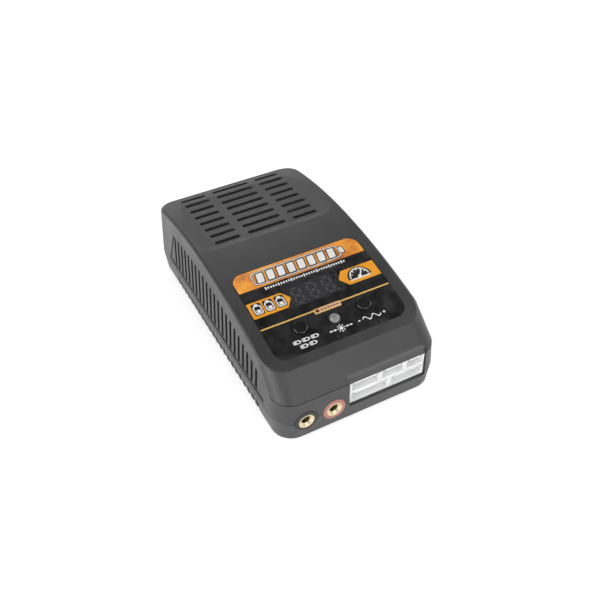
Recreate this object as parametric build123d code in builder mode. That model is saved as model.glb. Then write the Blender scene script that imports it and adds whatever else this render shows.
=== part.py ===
from build123d import *
import os
from math import asin, cos, degrees, radians, sin, sqrt, tan

# Balance battery charger for model batteries. Millimetres, +Z up, front (sockets) towards -Y.
# Origin: centre of the footprint, on the surface that the rubber feet stand on.
# Heights named *_rise are above the underside of the case, and *_setback is behind its front face.

os.makedirs("parts", exist_ok=True)

# ---------------------------------------------------------------- driving dimensions: case
case_length = 141.5
case_width = 79.4
corner_radius = 10.5
wall = 2.0
floor_thickness = 2.0
tray_depth = 10.8
tray_inset = 1.2
tray_edge_radius = 1.0
side_draft = 3.5
crease_rise = 22.4
slope_angle = 41.6
crown_rise = 42.5
crown_setback = 85.0
front_crown_radius = 258.0
rear_crown_radius = 190.0
top_edge_radius = 1.5
seam_chamfer = 0.3
crease_groove_height = 0.4
crease_groove_depth = 0.35
foot_projection = 0.6
foot_radius = 4.5
foot_recess = 0.8
foot_clearance = 0.1
foot_chamfer = 0.25
foot_end_inset = 13.0
foot_side_inset = 16.0

# vent panel, dished into the top
panel_lean = 2.9
panel_drop = 1.76
panel_centre_inset = 29.4
panel_half_width = 27.6
panel_half_length = 24.4
slab_side_margin = 7.5
slab_end_margin = 4.5
dish_angle = 15.0
dish_height = 6.0
dish_overrun = 20.0
vent_rows = 8
vent_row_pitch = 6.23
vent_slot_width = 2.4
long_vent_length = 19.8
short_vent_length = 13.0
vent_column_gap = 3.9

# upright slots in both sides, and the notches below them
side_slot_count = 22
side_slot_pitch = 4.36
side_slot_width = 2.0
side_slot_start = 23.5
side_slot_bottom_rise = 14.5
side_slot_drop = 9.0
side_panel_depth = 0.35
side_panel_margin = 1.2
side_panel_slant = 7.0
side_panel_knots = 4
over_crown = 3.0
notch_width = 2.2
notch_rise = 6.5
notch_reach = 4.0

# ---------------------------------------------------------------- driving dimensions: controls
panel_setback = 33.0
overlay_half_width = 31.9
overlay_front_setback = 15.9
overlay_rear_setback = 64.4
overlay_corner_radius = 5.5
overlay_thickness = 0.35
overlay_sweep = 25.0
window_length = 27.0
window_width = 14.0
window_ledge = 1.2
display_length = 22.5
display_width = 14.0
display_height = 7.2
display_setback = 44.2
digit_pitch = 7.6
digit_height = 9.1
digit_width = 4.8
segment_width = 1.0
segment_depth = 0.15
segment_gap = 0.3
button_spacing = 31.0
button_setback = 27.4
button_radius = 3.3
button_gap = 0.25
button_stand = 0.9
button_travel = 0.25
button_rounding = 0.6
button_flange_radius = 4.3
key_flange_gap = 0.35
switch_size = 6.0
switch_height = 3.5
switch_rise = 6.0
plunger_radius = 1.7
plunger_fit = 0.08
plunger_depth = 1.5
rivet_spacing = 4.4
rivet_radius = 0.45
rivet_depth = 0.2
led_radius = 2.5
led_offset = 0.3
led_setback = 26.0
led_stand = 1.5
led_rounding = 2.1
led_flange = 0.4
led_flange_height = 1.0
control_board_half_width = 29.0
control_board_front = 14.8
control_board_rear = 17.6
control_board_thickness = 1.2
control_post_half_spacing = 25.5
control_post_radius = 2.6
control_post_inset = 3.0
module_gap = 0.1

# ---------------------------------------------------------------- driving dimensions: connectors
socket_spacing = 13.3
socket_centre = -20.55
socket_bore_radius = 2.0
contact_radius = 3.6
contact_length = 19.0
contact_countersink = 1.1
contact_floor = 2.0
contact_tab_length = 4.0
contact_tab_thickness = 1.0
contact_tab_width = 2.6
flange_radius = 5.4
flange_thickness = 1.0
flange_rounding = 0.35
flange_clearance = 0.15
sleeve_radius = 4.7
sleeve_length = 8.0
header_left = -5.6
header_rise = 8.2
header_height = 6.1
header_row_gap = 0.05
header_depth = 7.0
header_wall = 0.85
header_base = 1.6
header_pitch = 2.5
header_end = 2.45
header_recess = 1.8
header_slot_depth = 3.5
header_slot_inset = 0.9
header_slot_width = 1.1
pin_width = 0.64
pin_recess = 3.0
pin_tail = 1.2
window_clearance = 0.15
window_left_gap = 1.05
window_right_gap = 0.3
scoop_depth = 1.7
scoop_face_angle = 72.0
scoop_face_length = 2.47
scoop_radius = 5.5
scoop_side = 1.0
inlet_x = 16.0
inlet_nose_width = 17.0
inlet_nose_height = 10.2
inlet_body_width = 19.0
inlet_depth = 20.0
inlet_cavity_depth = 12.5
inlet_pin_spacing = 8.6
inlet_pin_radius = 1.2
inlet_pin_recess = 3.0
inlet_lobe_radius = 4.1
inlet_cavity_width = 15.2
inlet_rounding = 1.5
inlet_body_gap = 2.0
inlet_pin_rounding = 0.5

# ---------------------------------------------------------------- driving dimensions: inside
board_thickness = 1.6
board_side_gap = 0.8
board_front_gap = 1.2
board_notch_gap = 2.0
post_radius = 3.8
post_clearance = 0.4
boss_radius = 3.0
case_screw_radius = 1.4
case_screw_head = 2.8
case_screw_head_height = 2.0
case_screw_sink = 0.5
drive_length = 3.4
drive_width = 0.7
drive_depth = 1.2
case_screw_grip = 9.0
case_screw_half_spacing = 32.6
case_screw_front_setback = 22.8
case_screw_rear_inset = 12.0
board_screw_radius = 1.2
board_screw_head = 2.4
board_screw_head_height = 1.5
board_screw_grip = 4.5
screw_clearance = 0.15
head_clearance = 0.2
board_screw_half_spacing = 29.5
board_post_radius = 2.9
board_screw_front_setback = 34.0
board_screw_rear_inset = 24.5
fan_size = 40.0
fan_thickness = 10.0
fan_bore_radius = 18.9
fan_hole_spacing = 32.0
fan_standoff = 2.0
fan_screw_radius = 1.3
fan_screw_head = 2.4
fan_screw_head_height = 1.4
fan_screw_clearance = 0.3
fan_post_radius = 2.6
fan_corner_radius = 2.5
strut_count = 4
strut_turn = 20.0
strut_width = 2.2
stator_radius = 8.2
stator_height = 4.5
pole_count = 4
pole_gap_width = 1.4
pole_gap_depth = 2.5
fan_hub_radius = 11.0
fan_tip_radius = 18.3
fan_shaft_radius = 1.0
fan_shaft_fit = 0.05
fan_blades = 7
blade_pitch = 38.0
blade_thickness = 1.0
blade_chord = 10.5
fan_hub_floor = 1.5
hub_wall = 1.2
rotor_gap = 0.4
fan_bearing_radius = 3.0
bearing_height = 6.8
fan_lead_width = 2.6
fan_lead_thickness = 1.2
fan_lead_inset = 2.0
fan_lead_x = 11.5
ribbon_width = 10.0
ribbon_thickness = 1.0
ribbon_x = 24.0
ribbon_setback = 41.0
cable_bulge = 3.0
cable_bend = 2.5
cable_end_gap = 0.1

# ---------------------------------------------------------------- worked out from them
front_y = -case_length / 2
rear_y = case_length / 2
underside = foot_projection
seam_z = underside + tray_depth
crease_z = underside + crease_rise
crown_z = underside + crown_rise
crown_y = front_y + crown_setback
draft = tan(radians(side_draft))
board_top = underside + header_rise
board_bottom = board_top - board_thickness
header_front = front_y + header_recess
header_back = header_front + header_depth
balance_board_rear = header_back + board_thickness


def top_height(y):
    """Height of the domed top on the centre line."""
    radius = front_crown_radius if y < crown_y else rear_crown_radius
    return crown_z - radius + sqrt(radius**2 - (y - crown_y) ** 2)


def case_block(inset):
    """The upper half of the case as a solid, with every face moved inwards by the inset."""
    fold_z = crease_z - inset * tan(radians(45 - slope_angle / 2))
    cap_z = crown_z + over_crown
    width = case_width - 2 * inset
    length = case_length - 2 * inset
    radius = corner_radius - inset
    fold_draft = (fold_z - seam_z) * draft
    cap_draft = (cap_z - seam_z) * draft
    setback = fold_draft + (cap_z - fold_z) / tan(radians(slope_angle))
    cap_length = length - cap_draft - setback
    with BuildPart() as block:
        with BuildSketch(Plane.XY.offset(seam_z)):
            RectangleRounded(width, length, radius)
        with BuildSketch(Plane.XY.offset(fold_z)):
            RectangleRounded(width - 2 * fold_draft, length - 2 * fold_draft, radius - fold_draft)
        loft(ruled=True)
        with BuildSketch(Plane.XY.offset(fold_z)):
            RectangleRounded(width - 2 * fold_draft, length - 2 * fold_draft, radius - fold_draft)
        with BuildSketch(Plane.XY.offset(cap_z)):
            with Locations((0, (setback - cap_draft) / 2)):
                RectangleRounded(width - 2 * cap_draft, cap_length, radius - cap_draft)
        loft(ruled=True)
        with BuildSketch(Plane.YZ):
            with BuildLine():
                front_sweep = degrees(asin((crown_setback + 2) / (front_crown_radius - inset)))
                rear_sweep = degrees(asin((case_length - crown_setback + 2) / (rear_crown_radius - inset)))
                front_arc = CenterArc(
                    (crown_y, crown_z - front_crown_radius), front_crown_radius - inset, 90, front_sweep
                )
                rear_arc = CenterArc(
                    (crown_y, crown_z - rear_crown_radius), rear_crown_radius - inset, 90, -rear_sweep
                )
                Polyline(
                    front_arc @ 1, ((front_arc @ 1).X, 0), ((rear_arc @ 1).X, 0), rear_arc @ 1
                )
            make_face()
        extrude(amount=case_width, both=True, mode=Mode.INTERSECT)
    return block.part


def tray_block(inset, bottom_z):
    """The tray below the seam as a solid, with its sides moved inwards by the inset."""
    width = case_width - 2 * inset
    length = case_length - 2 * inset
    radius = corner_radius - inset
    taper = tray_inset * (seam_z - bottom_z) / tray_depth
    with BuildPart() as block:
        with BuildSketch(Plane.XY.offset(bottom_z)):
            RectangleRounded(width - 2 * taper, length - 2 * taper, radius - taper)
        with BuildSketch(Plane.XY.offset(seam_z)):
            RectangleRounded(width, length, radius)
        loft(ruled=True)
    return block.part


# ---------------------------------------------------------------- shared planes and places
# control_plane touches the dome above the middle of the control board and rises to the rear.
control_y = front_y + panel_setback
control_angle = degrees(asin((crown_setback - panel_setback) / front_crown_radius))
control_plane = Plane(
    origin=(0, control_y, top_height(control_y)),
    x_dir=(1, 0, 0),
    z_dir=(0, -sin(radians(control_angle)), cos(radians(control_angle))),
)


def on_controls(x, setback):
    """A place on the control plane, from its place along the case."""
    return (x, (setback - panel_setback) / cos(radians(control_angle)))


def dome_sag(setback):
    """How far the dome lies below the control plane."""
    along = (setback - panel_setback) / cos(radians(control_angle))
    return along**2 / (2 * front_crown_radius)


module_top = -(wall + dome_sag(display_setback + display_width / 2) + module_gap)
control_board_top = module_top - display_height
control_board_bottom = control_board_top - control_board_thickness
button_places = [
    on_controls(-button_spacing / 2, button_setback),
    on_controls(button_spacing / 2, button_setback),
]
led_place = on_controls(led_offset, led_setback)
display_place = on_controls(0, display_setback)
control_posts = [
    (side * control_post_half_spacing, along)
    for side in (-1, 1)
    for along in (control_post_inset - control_board_front, control_board_rear - control_post_inset)
]

# panel_plane is the floor of the dish with the top vents. It lies below the dome and falls to the
# rear, less steeply than the dome does.
panel_y = rear_y - panel_centre_inset
panel_tilt = degrees(asin((panel_y - crown_y) / rear_crown_radius)) - panel_lean
panel_plane = Plane(
    origin=(0, panel_y, top_height(panel_y) - panel_drop),
    x_dir=(1, 0, 0),
    z_dir=(0, sin(radians(panel_tilt)), cos(radians(panel_tilt))),
)
screw_places = [
    (side * case_screw_half_spacing, y)
    for side in (-1, 1)
    for y in (front_y + case_screw_front_setback, rear_y - case_screw_rear_inset)
]
board_screw_places = [
    (side * board_screw_half_spacing, y)
    for side in (-1, 1)
    for y in (front_y + board_screw_front_setback, rear_y - board_screw_rear_inset)
]
foot_places = [
    (side * (case_width / 2 - foot_side_inset), end * (case_length / 2 - foot_end_inset))
    for side in (-1, 1)
    for end in (-1, 1)
]
slot_places = [front_y + side_slot_start + side_slot_pitch * i for i in range(side_slot_count)]
socket_places = [socket_centre - socket_spacing / 2, socket_centre + socket_spacing / 2]
socket_centres = [(x, seam_z) for x in socket_places]


def header_length(pins):
    """Outside length of a header with this many pins."""
    return header_pitch * (pins - 1) + 2 * header_end


lower_row = (7, 6)
upper_row = (5, 4, 3)
header_right = header_left + header_length(lower_row[0]) + header_length(lower_row[1])
upper_row_rise = header_height + header_row_gap
headers = []
for row, row_pins in enumerate((lower_row, upper_row)):
    left = header_left
    for pins in row_pins:
        headers.append((pins, left + header_length(pins) / 2, board_top + row * upper_row_rise))
        left += header_length(pins)
headers_top = board_top + upper_row_rise + header_height
opening_left = header_left - window_left_gap
opening_right = header_right + window_right_gap
opening_bottom = board_top - window_clearance
opening_top = headers_top + window_clearance

inlet_bottom = seam_z + window_clearance
inlet_z = inlet_bottom + inlet_nose_height / 2


def overlay_form(clearance):
    """The space of the printed overlay: a rounded rectangle bent over the dome."""
    with BuildPart() as form:
        with BuildSketch(Plane.YZ):
            with BuildLine():
                centre = (crown_y, crown_z - front_crown_radius)
                outer_arc = CenterArc(centre, front_crown_radius + clearance, 90, overlay_sweep)
                inner_arc = CenterArc(centre, front_crown_radius - overlay_thickness, 90, overlay_sweep)
                Line(outer_arc @ 0, inner_arc @ 0)
                Line(outer_arc @ 1, inner_arc @ 1)
            make_face()
        extrude(amount=case_width, both=True)
        with BuildSketch(Plane.XY):
            with Locations((0, front_y + (overlay_front_setback + overlay_rear_setback) / 2)):
                RectangleRounded(
                    2 * overlay_half_width,
                    overlay_rear_setback - overlay_front_setback,
                    overlay_corner_radius,
                )
        extrude(amount=crown_z + over_crown, mode=Mode.INTERSECT)
    return form.part


# ---------------------------------------------------------------- upper shell
# Shallow recess in both sides around the slots. Its ends lean outwards below.
with BuildPart() as side_panels:
    panel_low = underside + side_slot_bottom_rise - side_panel_margin
    panel_ends = (slot_places[0] - side_panel_margin, slot_places[-1] + side_panel_margin)
    panel_run = (panel_ends[1] - panel_ends[0]) / side_panel_knots
    knots = [panel_ends[0] + panel_run * i for i in range(side_panel_knots + 1)]
    with BuildSketch(Plane.YZ):
        with BuildLine():
            top_line = Spline(
                *[(y, top_height(y) - side_slot_drop + side_panel_margin) for y in knots]
            )
            Polyline(
                top_line @ 1,
                (panel_ends[1] + side_panel_slant, panel_low),
                (panel_ends[0] - side_panel_slant, panel_low),
                top_line @ 0,
            )
        make_face()
    extrude(amount=case_width, both=True)
    add(case_block(side_panel_depth), mode=Mode.SUBTRACT)

# Fine groove round the front, just below the fold between the front wall and the slope.
with BuildPart() as crease_groove:
    with BuildSketch(Plane.XY.offset(crease_z - crease_groove_height)):
        with Locations((0, front_y)):
            Rectangle(case_width, 2 * corner_radius)
    extrude(amount=crease_groove_height)
    add(case_block(crease_groove_depth), mode=Mode.SUBTRACT)

# Scoop above the balance headers. Its steep face rises from the top edge of their window, and a
# round carries it into the slope. scoop_profile is that line in the YZ plane, from the window up.
scoop_lip = (front_y + scoop_depth, opening_top)
scoop_bend = (
    scoop_lip[0] + scoop_face_length * cos(radians(scoop_face_angle)),
    scoop_lip[1] + scoop_face_length * sin(radians(scoop_face_angle)),
)
scoop_turn = scoop_face_angle - slope_angle
scoop_chord = 2 * scoop_radius * sin(radians(scoop_turn / 2))
scoop_top = (
    scoop_bend[0] + scoop_chord * cos(radians(slope_angle + scoop_turn / 2)),
    scoop_bend[1] + scoop_chord * sin(radians(slope_angle + scoop_turn / 2)),
)

with BuildPart() as scoop:
    with BuildSketch(Plane.YZ.offset(opening_left)):
        with BuildLine():
            scoop_face = Line(scoop_lip, scoop_bend)
            scoop_round = TangentArc(scoop_bend, scoop_top, tangent=scoop_face % 1)
            Polyline(
                scoop_round @ 1,
                (scoop_top[0], scoop_top[1] + wall),
                (front_y - wall, scoop_top[1] + wall),
                (front_y - wall, scoop_lip[1]),
                scoop_lip,
            )
        make_face()
    extrude(amount=opening_right - opening_left)

# Wall behind the scoop, as thick as the rest of the shell.
with BuildPart() as scoop_backing:
    with BuildSketch(Plane.YZ.offset(opening_left - scoop_side)):
        with BuildLine():
            Polyline(
                scoop_lip,
                scoop_top,
                (
                    scoop_top[0] + wall * sin(radians(slope_angle)),
                    scoop_top[1] - wall * cos(radians(slope_angle)),
                ),
                (scoop_lip[0] + wall, scoop_lip[1]),
                close=True,
            )
        make_face()
    extrude(amount=opening_right - opening_left + 2 * scoop_side)
    add(case_block(wall / 2), mode=Mode.INTERSECT)

# Columns for the case screws, and short posts that carry the control board.
with BuildPart() as bosses:
    with BuildSketch(Plane.XY.offset(seam_z)):
        with Locations(*screw_places):
            Circle(boss_radius)
    extrude(amount=crown_z)
    with BuildSketch(control_plane.offset(control_board_top)):
        with Locations(*control_posts):
            Circle(control_post_radius)
    extrude(amount=-control_board_top)
    add(case_block(wall / 2), mode=Mode.INTERSECT)

# Floor of the dish, with the four stand-offs of the fan below it.
with BuildPart() as panel_slab:
    with BuildSketch(panel_plane):
        Rectangle(2 * (panel_half_width + slab_side_margin), 2 * (panel_half_length + slab_end_margin))
    extrude(amount=-wall)
    add(case_block(wall / 2), mode=Mode.INTERSECT)

with BuildPart() as fan_posts:
    with BuildSketch(panel_plane.offset(-wall - fan_standoff)):
        with GridLocations(fan_hole_spacing, fan_hole_spacing, 2, 2):
            Circle(fan_post_radius)
    extrude(amount=fan_standoff + wall / 2)

with BuildPart() as upper_shell:
    add(case_block(0))
    crown_faces = upper_shell.faces().sort_by(Axis.Z)[-2:]
    rim_edges = crown_faces.edges().filter_by(lambda edge: abs(edge.center().Y - crown_y) > 0.5)
    fillet(rim_edges, top_edge_radius)
    chamfer(upper_shell.faces().sort_by(Axis.Z)[0].edges(), seam_chamfer)
    add(crease_groove.part, mode=Mode.SUBTRACT)
    add(side_panels.part, mode=Mode.SUBTRACT)
    add(case_block(wall), mode=Mode.SUBTRACT)
    add(scoop_backing.part)
    add(scoop.part, mode=Mode.SUBTRACT)
    add(panel_slab.part)

    # the dish, with gently sloping sides, and its three columns of slots
    dish_spread = dish_height / tan(radians(dish_angle))
    for lift, spread in ((0, 0), (dish_height, dish_spread)):
        with BuildSketch(panel_plane.offset(lift)):
            with Locations((0, dish_overrun / 2)):
                RectangleRounded(
                    2 * (panel_half_width + spread),
                    2 * (panel_half_length + spread) + dish_overrun,
                    1 + spread,
                )
    loft(ruled=True, mode=Mode.SUBTRACT)
    column_offset = long_vent_length / 2 + vent_column_gap + short_vent_length / 2
    with BuildSketch(panel_plane):
        with GridLocations(0, vent_row_pitch, 1, vent_rows):
            SlotOverall(long_vent_length, vent_slot_width)
        with GridLocations(2 * column_offset, vent_row_pitch, 2, vent_rows):
            SlotOverall(short_vent_length, vent_slot_width)
    extrude(amount=3 * wall, both=True, mode=Mode.SUBTRACT)
    add(fan_posts.part)

    # upright side slots, whose tops follow the dome
    with BuildSketch(Plane.YZ):
        for slot_y in slot_places:
            slot_bottom = underside + side_slot_bottom_rise
            slot_top = top_height(slot_y) - side_slot_drop
            with Locations((slot_y, (slot_bottom + slot_top) / 2)):
                RectangleRounded(side_slot_width, slot_top - slot_bottom, side_slot_width / 4)
    extrude(amount=case_width, both=True, mode=Mode.SUBTRACT)

    # seat of the overlay, and the holes below it
    add(overlay_form(over_crown), mode=Mode.SUBTRACT)
    with BuildSketch(control_plane):
        with Locations(*button_places):
            Circle(button_radius + button_gap)
        with Locations(led_place):
            Circle(led_radius + button_gap)
        with Locations(display_place):
            Rectangle(window_length - 2 * window_ledge, window_width - 2 * window_ledge)
    extrude(amount=2 * wall, both=True, mode=Mode.SUBTRACT)

    # screw columns and posts, bored from below
    add(bosses.part)
    with BuildSketch(Plane.XY.offset(seam_z)):
        with Locations(*screw_places):
            Circle(case_screw_radius)
    extrude(amount=case_screw_grip + 1, mode=Mode.SUBTRACT)
    with BuildSketch(control_plane.offset(control_board_top)):
        with Locations(*control_posts):
            Circle(board_screw_radius)
    extrude(amount=board_screw_grip + screw_clearance, mode=Mode.SUBTRACT)
    with BuildSketch(panel_plane.offset(-wall - fan_standoff)):
        with GridLocations(fan_hole_spacing, fan_hole_spacing, 2, 2):
            Circle(fan_screw_radius)
    extrude(amount=fan_standoff, mode=Mode.SUBTRACT)

    # front openings: half holes for the sockets, and the window of the balance headers
    with BuildSketch(Plane.XZ.offset(-front_y - sleeve_length)):
        with Locations(*socket_centres):
            Circle(sleeve_radius)
    extrude(amount=sleeve_length, mode=Mode.SUBTRACT)
    with BuildSketch(Plane.XZ.offset(-front_y - flange_thickness)):
        with Locations(*socket_centres):
            Circle(flange_radius + flange_clearance)
    extrude(amount=2, mode=Mode.SUBTRACT)
    with BuildSketch(Plane.XZ.offset(-header_back)):
        with Locations(((opening_left + opening_right) / 2, (seam_z + opening_top) / 2)):
            Rectangle(opening_right - opening_left, opening_top - seam_z)
    extrude(amount=header_depth + 2, mode=Mode.SUBTRACT)

    # rear window of the mains inlet
    with BuildSketch(Plane.XZ.offset(-rear_y - 1)):
        with Locations((inlet_x, seam_z + (inlet_nose_height + 2 * window_clearance) / 2)):
            Rectangle(
                inlet_nose_width + 2 * window_clearance, inlet_nose_height + 2 * window_clearance
            )
    extrude(amount=3 * wall, mode=Mode.SUBTRACT)
upper_shell.part.label = "upper_shell"
export_step(upper_shell.part, "parts/upper_shell.step")

# ---------------------------------------------------------------- lower shell
# Tray with tapered sides, four screw posts, four board posts and shallow seats for the feet.
with BuildPart() as tray_posts:
    with BuildSketch(Plane.XY.offset(underside)):
        with Locations(*screw_places):
            Circle(post_radius)
    extrude(amount=seam_z - underside)
    with BuildSketch(Plane.XY.offset(underside)):
        with Locations(*board_screw_places):
            Circle(board_post_radius)
    extrude(amount=board_bottom - underside)
    add(tray_block(wall / 2, underside), mode=Mode.INTERSECT)

with BuildPart() as lower_shell:
    add(tray_block(0, underside))
    fillet(lower_shell.faces().sort_by(Axis.Z)[0].edges(), tray_edge_radius)
    chamfer(lower_shell.faces().sort_by(Axis.Z)[-1].edges(), seam_chamfer)
    add(tray_block(wall, underside + floor_thickness), mode=Mode.SUBTRACT)

    # notches that cut through the lower edge of both sides
    side_foot = case_width / 2 - tray_inset
    with BuildSketch(Plane.XY.offset(underside)):
        for slot_y in slot_places:
            for side in (-1, 1):
                with Locations((side * (side_foot + tray_inset + 1 - notch_reach / 2), slot_y)):
                    Rectangle(notch_reach + 2 * tray_inset, notch_width)
    extrude(amount=notch_rise, mode=Mode.SUBTRACT)
    add(tray_posts.part)
    with BuildSketch(Plane.XY.offset(underside)):
        with Locations(*screw_places):
            Circle(case_screw_head + head_clearance)
    extrude(amount=case_screw_head_height + case_screw_sink, mode=Mode.SUBTRACT)
    with BuildSketch(Plane.XY.offset(underside)):
        with Locations(*screw_places):
            Circle(case_screw_radius + screw_clearance)
    extrude(amount=tray_depth, mode=Mode.SUBTRACT)
    with BuildSketch(Plane.XY.offset(underside + floor_thickness)):
        with Locations(*board_screw_places):
            Circle(board_screw_radius)
    extrude(amount=tray_depth, mode=Mode.SUBTRACT)
    with BuildSketch(Plane.XY.offset(underside)):
        with Locations(*foot_places):
            Circle(foot_radius + foot_clearance)
    extrude(amount=foot_recess, mode=Mode.SUBTRACT)

    with BuildSketch(Plane.XZ.offset(-front_y - sleeve_length)):
        with Locations(*socket_centres):
            Circle(sleeve_radius)
    extrude(amount=sleeve_length, mode=Mode.SUBTRACT)
    with BuildSketch(Plane.XZ.offset(-front_y - flange_thickness)):
        with Locations(*socket_centres):
            Circle(flange_radius + flange_clearance)
    extrude(amount=2, mode=Mode.SUBTRACT)
    with BuildSketch(Plane.XZ.offset(-header_back)):
        with Locations(((opening_left + opening_right) / 2, seam_z)):
            Rectangle(opening_right - opening_left, 2 * (seam_z - opening_bottom))
    extrude(amount=header_depth + 2, mode=Mode.SUBTRACT)
lower_shell.part.label = "lower_shell"
export_step(lower_shell.part, "parts/lower_shell.step")

# Four round stick-on feet in the seats of the tray.
with BuildPart() as rubber_feet:
    with BuildSketch(Plane.XY):
        with Locations(*foot_places):
            Circle(foot_radius)
    extrude(amount=foot_projection + foot_recess)
    chamfer(rubber_feet.edges().group_by(Axis.Z)[0], foot_chamfer)
rubber_feet.part.label = "rubber_feet"
export_step(rubber_feet.part, "parts/rubber_feet.step")

# Self-tapping screws that pull the upper shell down on the tray.
with BuildPart() as case_screws:
    screw_seat = underside + case_screw_head_height + case_screw_sink
    with BuildSketch(Plane.XY.offset(screw_seat)):
        with Locations(*screw_places):
            Circle(case_screw_head)
    extrude(amount=-case_screw_head_height)
    with BuildSketch(Plane.XY.offset(screw_seat)):
        with Locations(*screw_places):
            Circle(case_screw_radius)
    extrude(amount=seam_z + case_screw_grip - screw_seat)
    with BuildSketch(Plane.XY.offset(screw_seat - case_screw_head_height)):
        with Locations(*screw_places):
            Rectangle(drive_length, drive_width)
            Rectangle(drive_width, drive_length)
    extrude(amount=drive_depth, mode=Mode.SUBTRACT)
case_screws.part.label = "case_screws"
export_step(case_screws.part, "parts/case_screws.step")

# ---------------------------------------------------------------- overlay and display
# Printed polycarbonate sheet, flush in its seat, pierced for the buttons, lamp and window.
with BuildPart() as label_overlay:
    add(overlay_form(0))
    with BuildSketch(control_plane):
        with Locations(*button_places):
            Circle(button_radius + button_gap)
        with Locations(led_place):
            Circle(led_radius + button_gap)
        with Locations(display_place):
            Rectangle(window_length, window_width)
    extrude(amount=2 * wall, both=True, mode=Mode.SUBTRACT)
label_overlay.part.label = "label_overlay"
export_step(label_overlay.part, "parts/label_overlay.step")

# Smoked clear pane that fills the overlay's window and lies on the rim of the shell's opening.
with BuildPart() as display_window:
    add(overlay_form(0))
    with BuildSketch(control_plane):
        with Locations(display_place):
            Rectangle(window_length, window_width)
    extrude(amount=2 * wall, both=True, mode=Mode.INTERSECT)
display_window.part.label = "display_window"
export_step(display_window.part, "parts/display_window.step")


def digit_bars():
    """Centres, sizes and turns of the seven bars of one digit, about the digit's centre."""
    half_width = (digit_width - segment_width) / 2
    half_height = (digit_height - segment_width) / 2
    bar = half_height - segment_width - segment_gap
    cross_bar = digit_width - 2 * segment_width - segment_gap
    bars = [((0, row * half_height), cross_bar, 0) for row in (-1, 0, 1)]
    for side in (-1, 1):
        for row in (-1, 1):
            bars.append(((side * half_width, row * half_height / 2), bar, 90))
    return bars


digit_centres = [(display_place[0] + step * digit_pitch, display_place[1]) for step in (-1, 0, 1)]
point_offset = (digit_pitch - segment_width) / 2
with BuildPart() as display_segments:
    with BuildSketch(control_plane.offset(module_top - segment_depth)):
        for digit_x, digit_along in digit_centres:
            for (bar_x, bar_along), bar_length, turn in digit_bars():
                with Locations(Location((digit_x + bar_x, digit_along + bar_along, 0), (0, 0, turn))):
                    SlotOverall(bar_length, segment_width)
            with Locations((digit_x + point_offset, digit_along - (digit_height - segment_width) / 2)):
                Circle(segment_width / 2)
    extrude(amount=segment_depth)
display_segments.part.label = "display_segments"
export_step(display_segments.part, "parts/display_segments.step")

# Three-digit module on the control board; the light bars are let into its face.
with BuildPart() as display_module:
    with BuildSketch(control_plane.offset(control_board_top)):
        with Locations(display_place):
            Rectangle(display_length, display_width)
    extrude(amount=display_height)
    add(display_segments.part, mode=Mode.SUBTRACT)
display_module.part.label = "display_module"
export_step(display_module.part, "parts/display_module.step")

# Round lamp: flange on the board, barrel through the shell, domed tip.
with BuildPart() as status_led:
    led_tip = led_stand - dome_sag(led_setback)
    with BuildSketch(control_plane.offset(control_board_top)):
        with Locations(led_place):
            Circle(led_radius)
    extrude(amount=led_tip - control_board_top)
    fillet(status_led.faces().sort_by(Axis.Z)[-1].edges(), led_rounding)
    with BuildSketch(control_plane.offset(control_board_top)):
        with Locations(led_place):
            Circle(led_radius + led_flange)
    extrude(amount=led_flange_height)
status_led.part.label = "status_led"
export_step(status_led.part, "parts/status_led.step")

# ---------------------------------------------------------------- buttons and their switches
cap_foot = control_board_top + switch_rise
flange_top = -(wall + dome_sag(button_setback) + key_flange_gap)
cap_top = button_stand - dome_sag(button_setback)


def make_button(place):
    """Cap of one push button: foot and flange below the shell, stem through it."""
    with BuildPart() as cap:
        with BuildSketch(control_plane.offset(cap_foot)):
            with Locations(place):
                Circle(button_flange_radius)
        extrude(amount=flange_top - cap_foot)
        with BuildSketch(control_plane.offset(flange_top)):
            with Locations(place):
                Circle(button_radius)
        extrude(amount=cap_top - flange_top)
        fillet(cap.faces().sort_by(Axis.Z)[-1].edges(), button_rounding)
    return cap.part


def make_plunger(place):
    """Stem of a tactile switch, between the cap's foot and the inside of the switch."""
    with BuildPart() as plunger:
        with BuildSketch(control_plane.offset(control_board_top + switch_height - plunger_depth)):
            with Locations(place):
                Circle(plunger_radius)
        extrude(amount=switch_rise - switch_height + plunger_depth)
    return plunger.part


def make_switch(place):
    """Body of a tactile switch on the control board, bored for its plunger."""
    with BuildPart() as switch:
        with BuildSketch(control_plane.offset(control_board_top)):
            with Locations(place):
                Rectangle(switch_size, switch_size)
        extrude(amount=switch_height)
        with BuildSketch(control_plane.offset(control_board_top + switch_height)):
            with Locations(place):
                Circle(plunger_radius + plunger_fit)
        extrude(amount=-plunger_depth - 2 * button_travel, mode=Mode.SUBTRACT)
        with BuildSketch(control_plane.offset(control_board_top + switch_height)):
            with Locations(place):
                with GridLocations(rivet_spacing, rivet_spacing, 2, 2):
                    Circle(rivet_radius)
        extrude(amount=-rivet_depth, mode=Mode.SUBTRACT)
    return switch.part


for name, place in zip(("battery_type", "current"), button_places):
    button = make_button(place)
    button.label = name + "_button"
    export_step(button, "parts/" + name + "_button.step")
    plunger = make_plunger(place)
    plunger.label = name + "_plunger"
    export_step(plunger, "parts/" + name + "_plunger.step")
    switch = make_switch(place)
    switch.label = name + "_switch"
    export_step(switch, "parts/" + name + "_switch.step")

# ---------------------------------------------------------------- control board
with BuildPart() as control_board:
    with BuildSketch(control_plane.offset(control_board_bottom)):
        with Locations((0, (control_board_rear - control_board_front) / 2)):
            Rectangle(2 * control_board_half_width, control_board_front + control_board_rear)
        with Locations(*control_posts):
            Circle(board_screw_radius + screw_clearance, mode=Mode.SUBTRACT)
    extrude(amount=control_board_thickness)
control_board.part.label = "control_board"
export_step(control_board.part, "parts/control_board.step")

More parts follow.
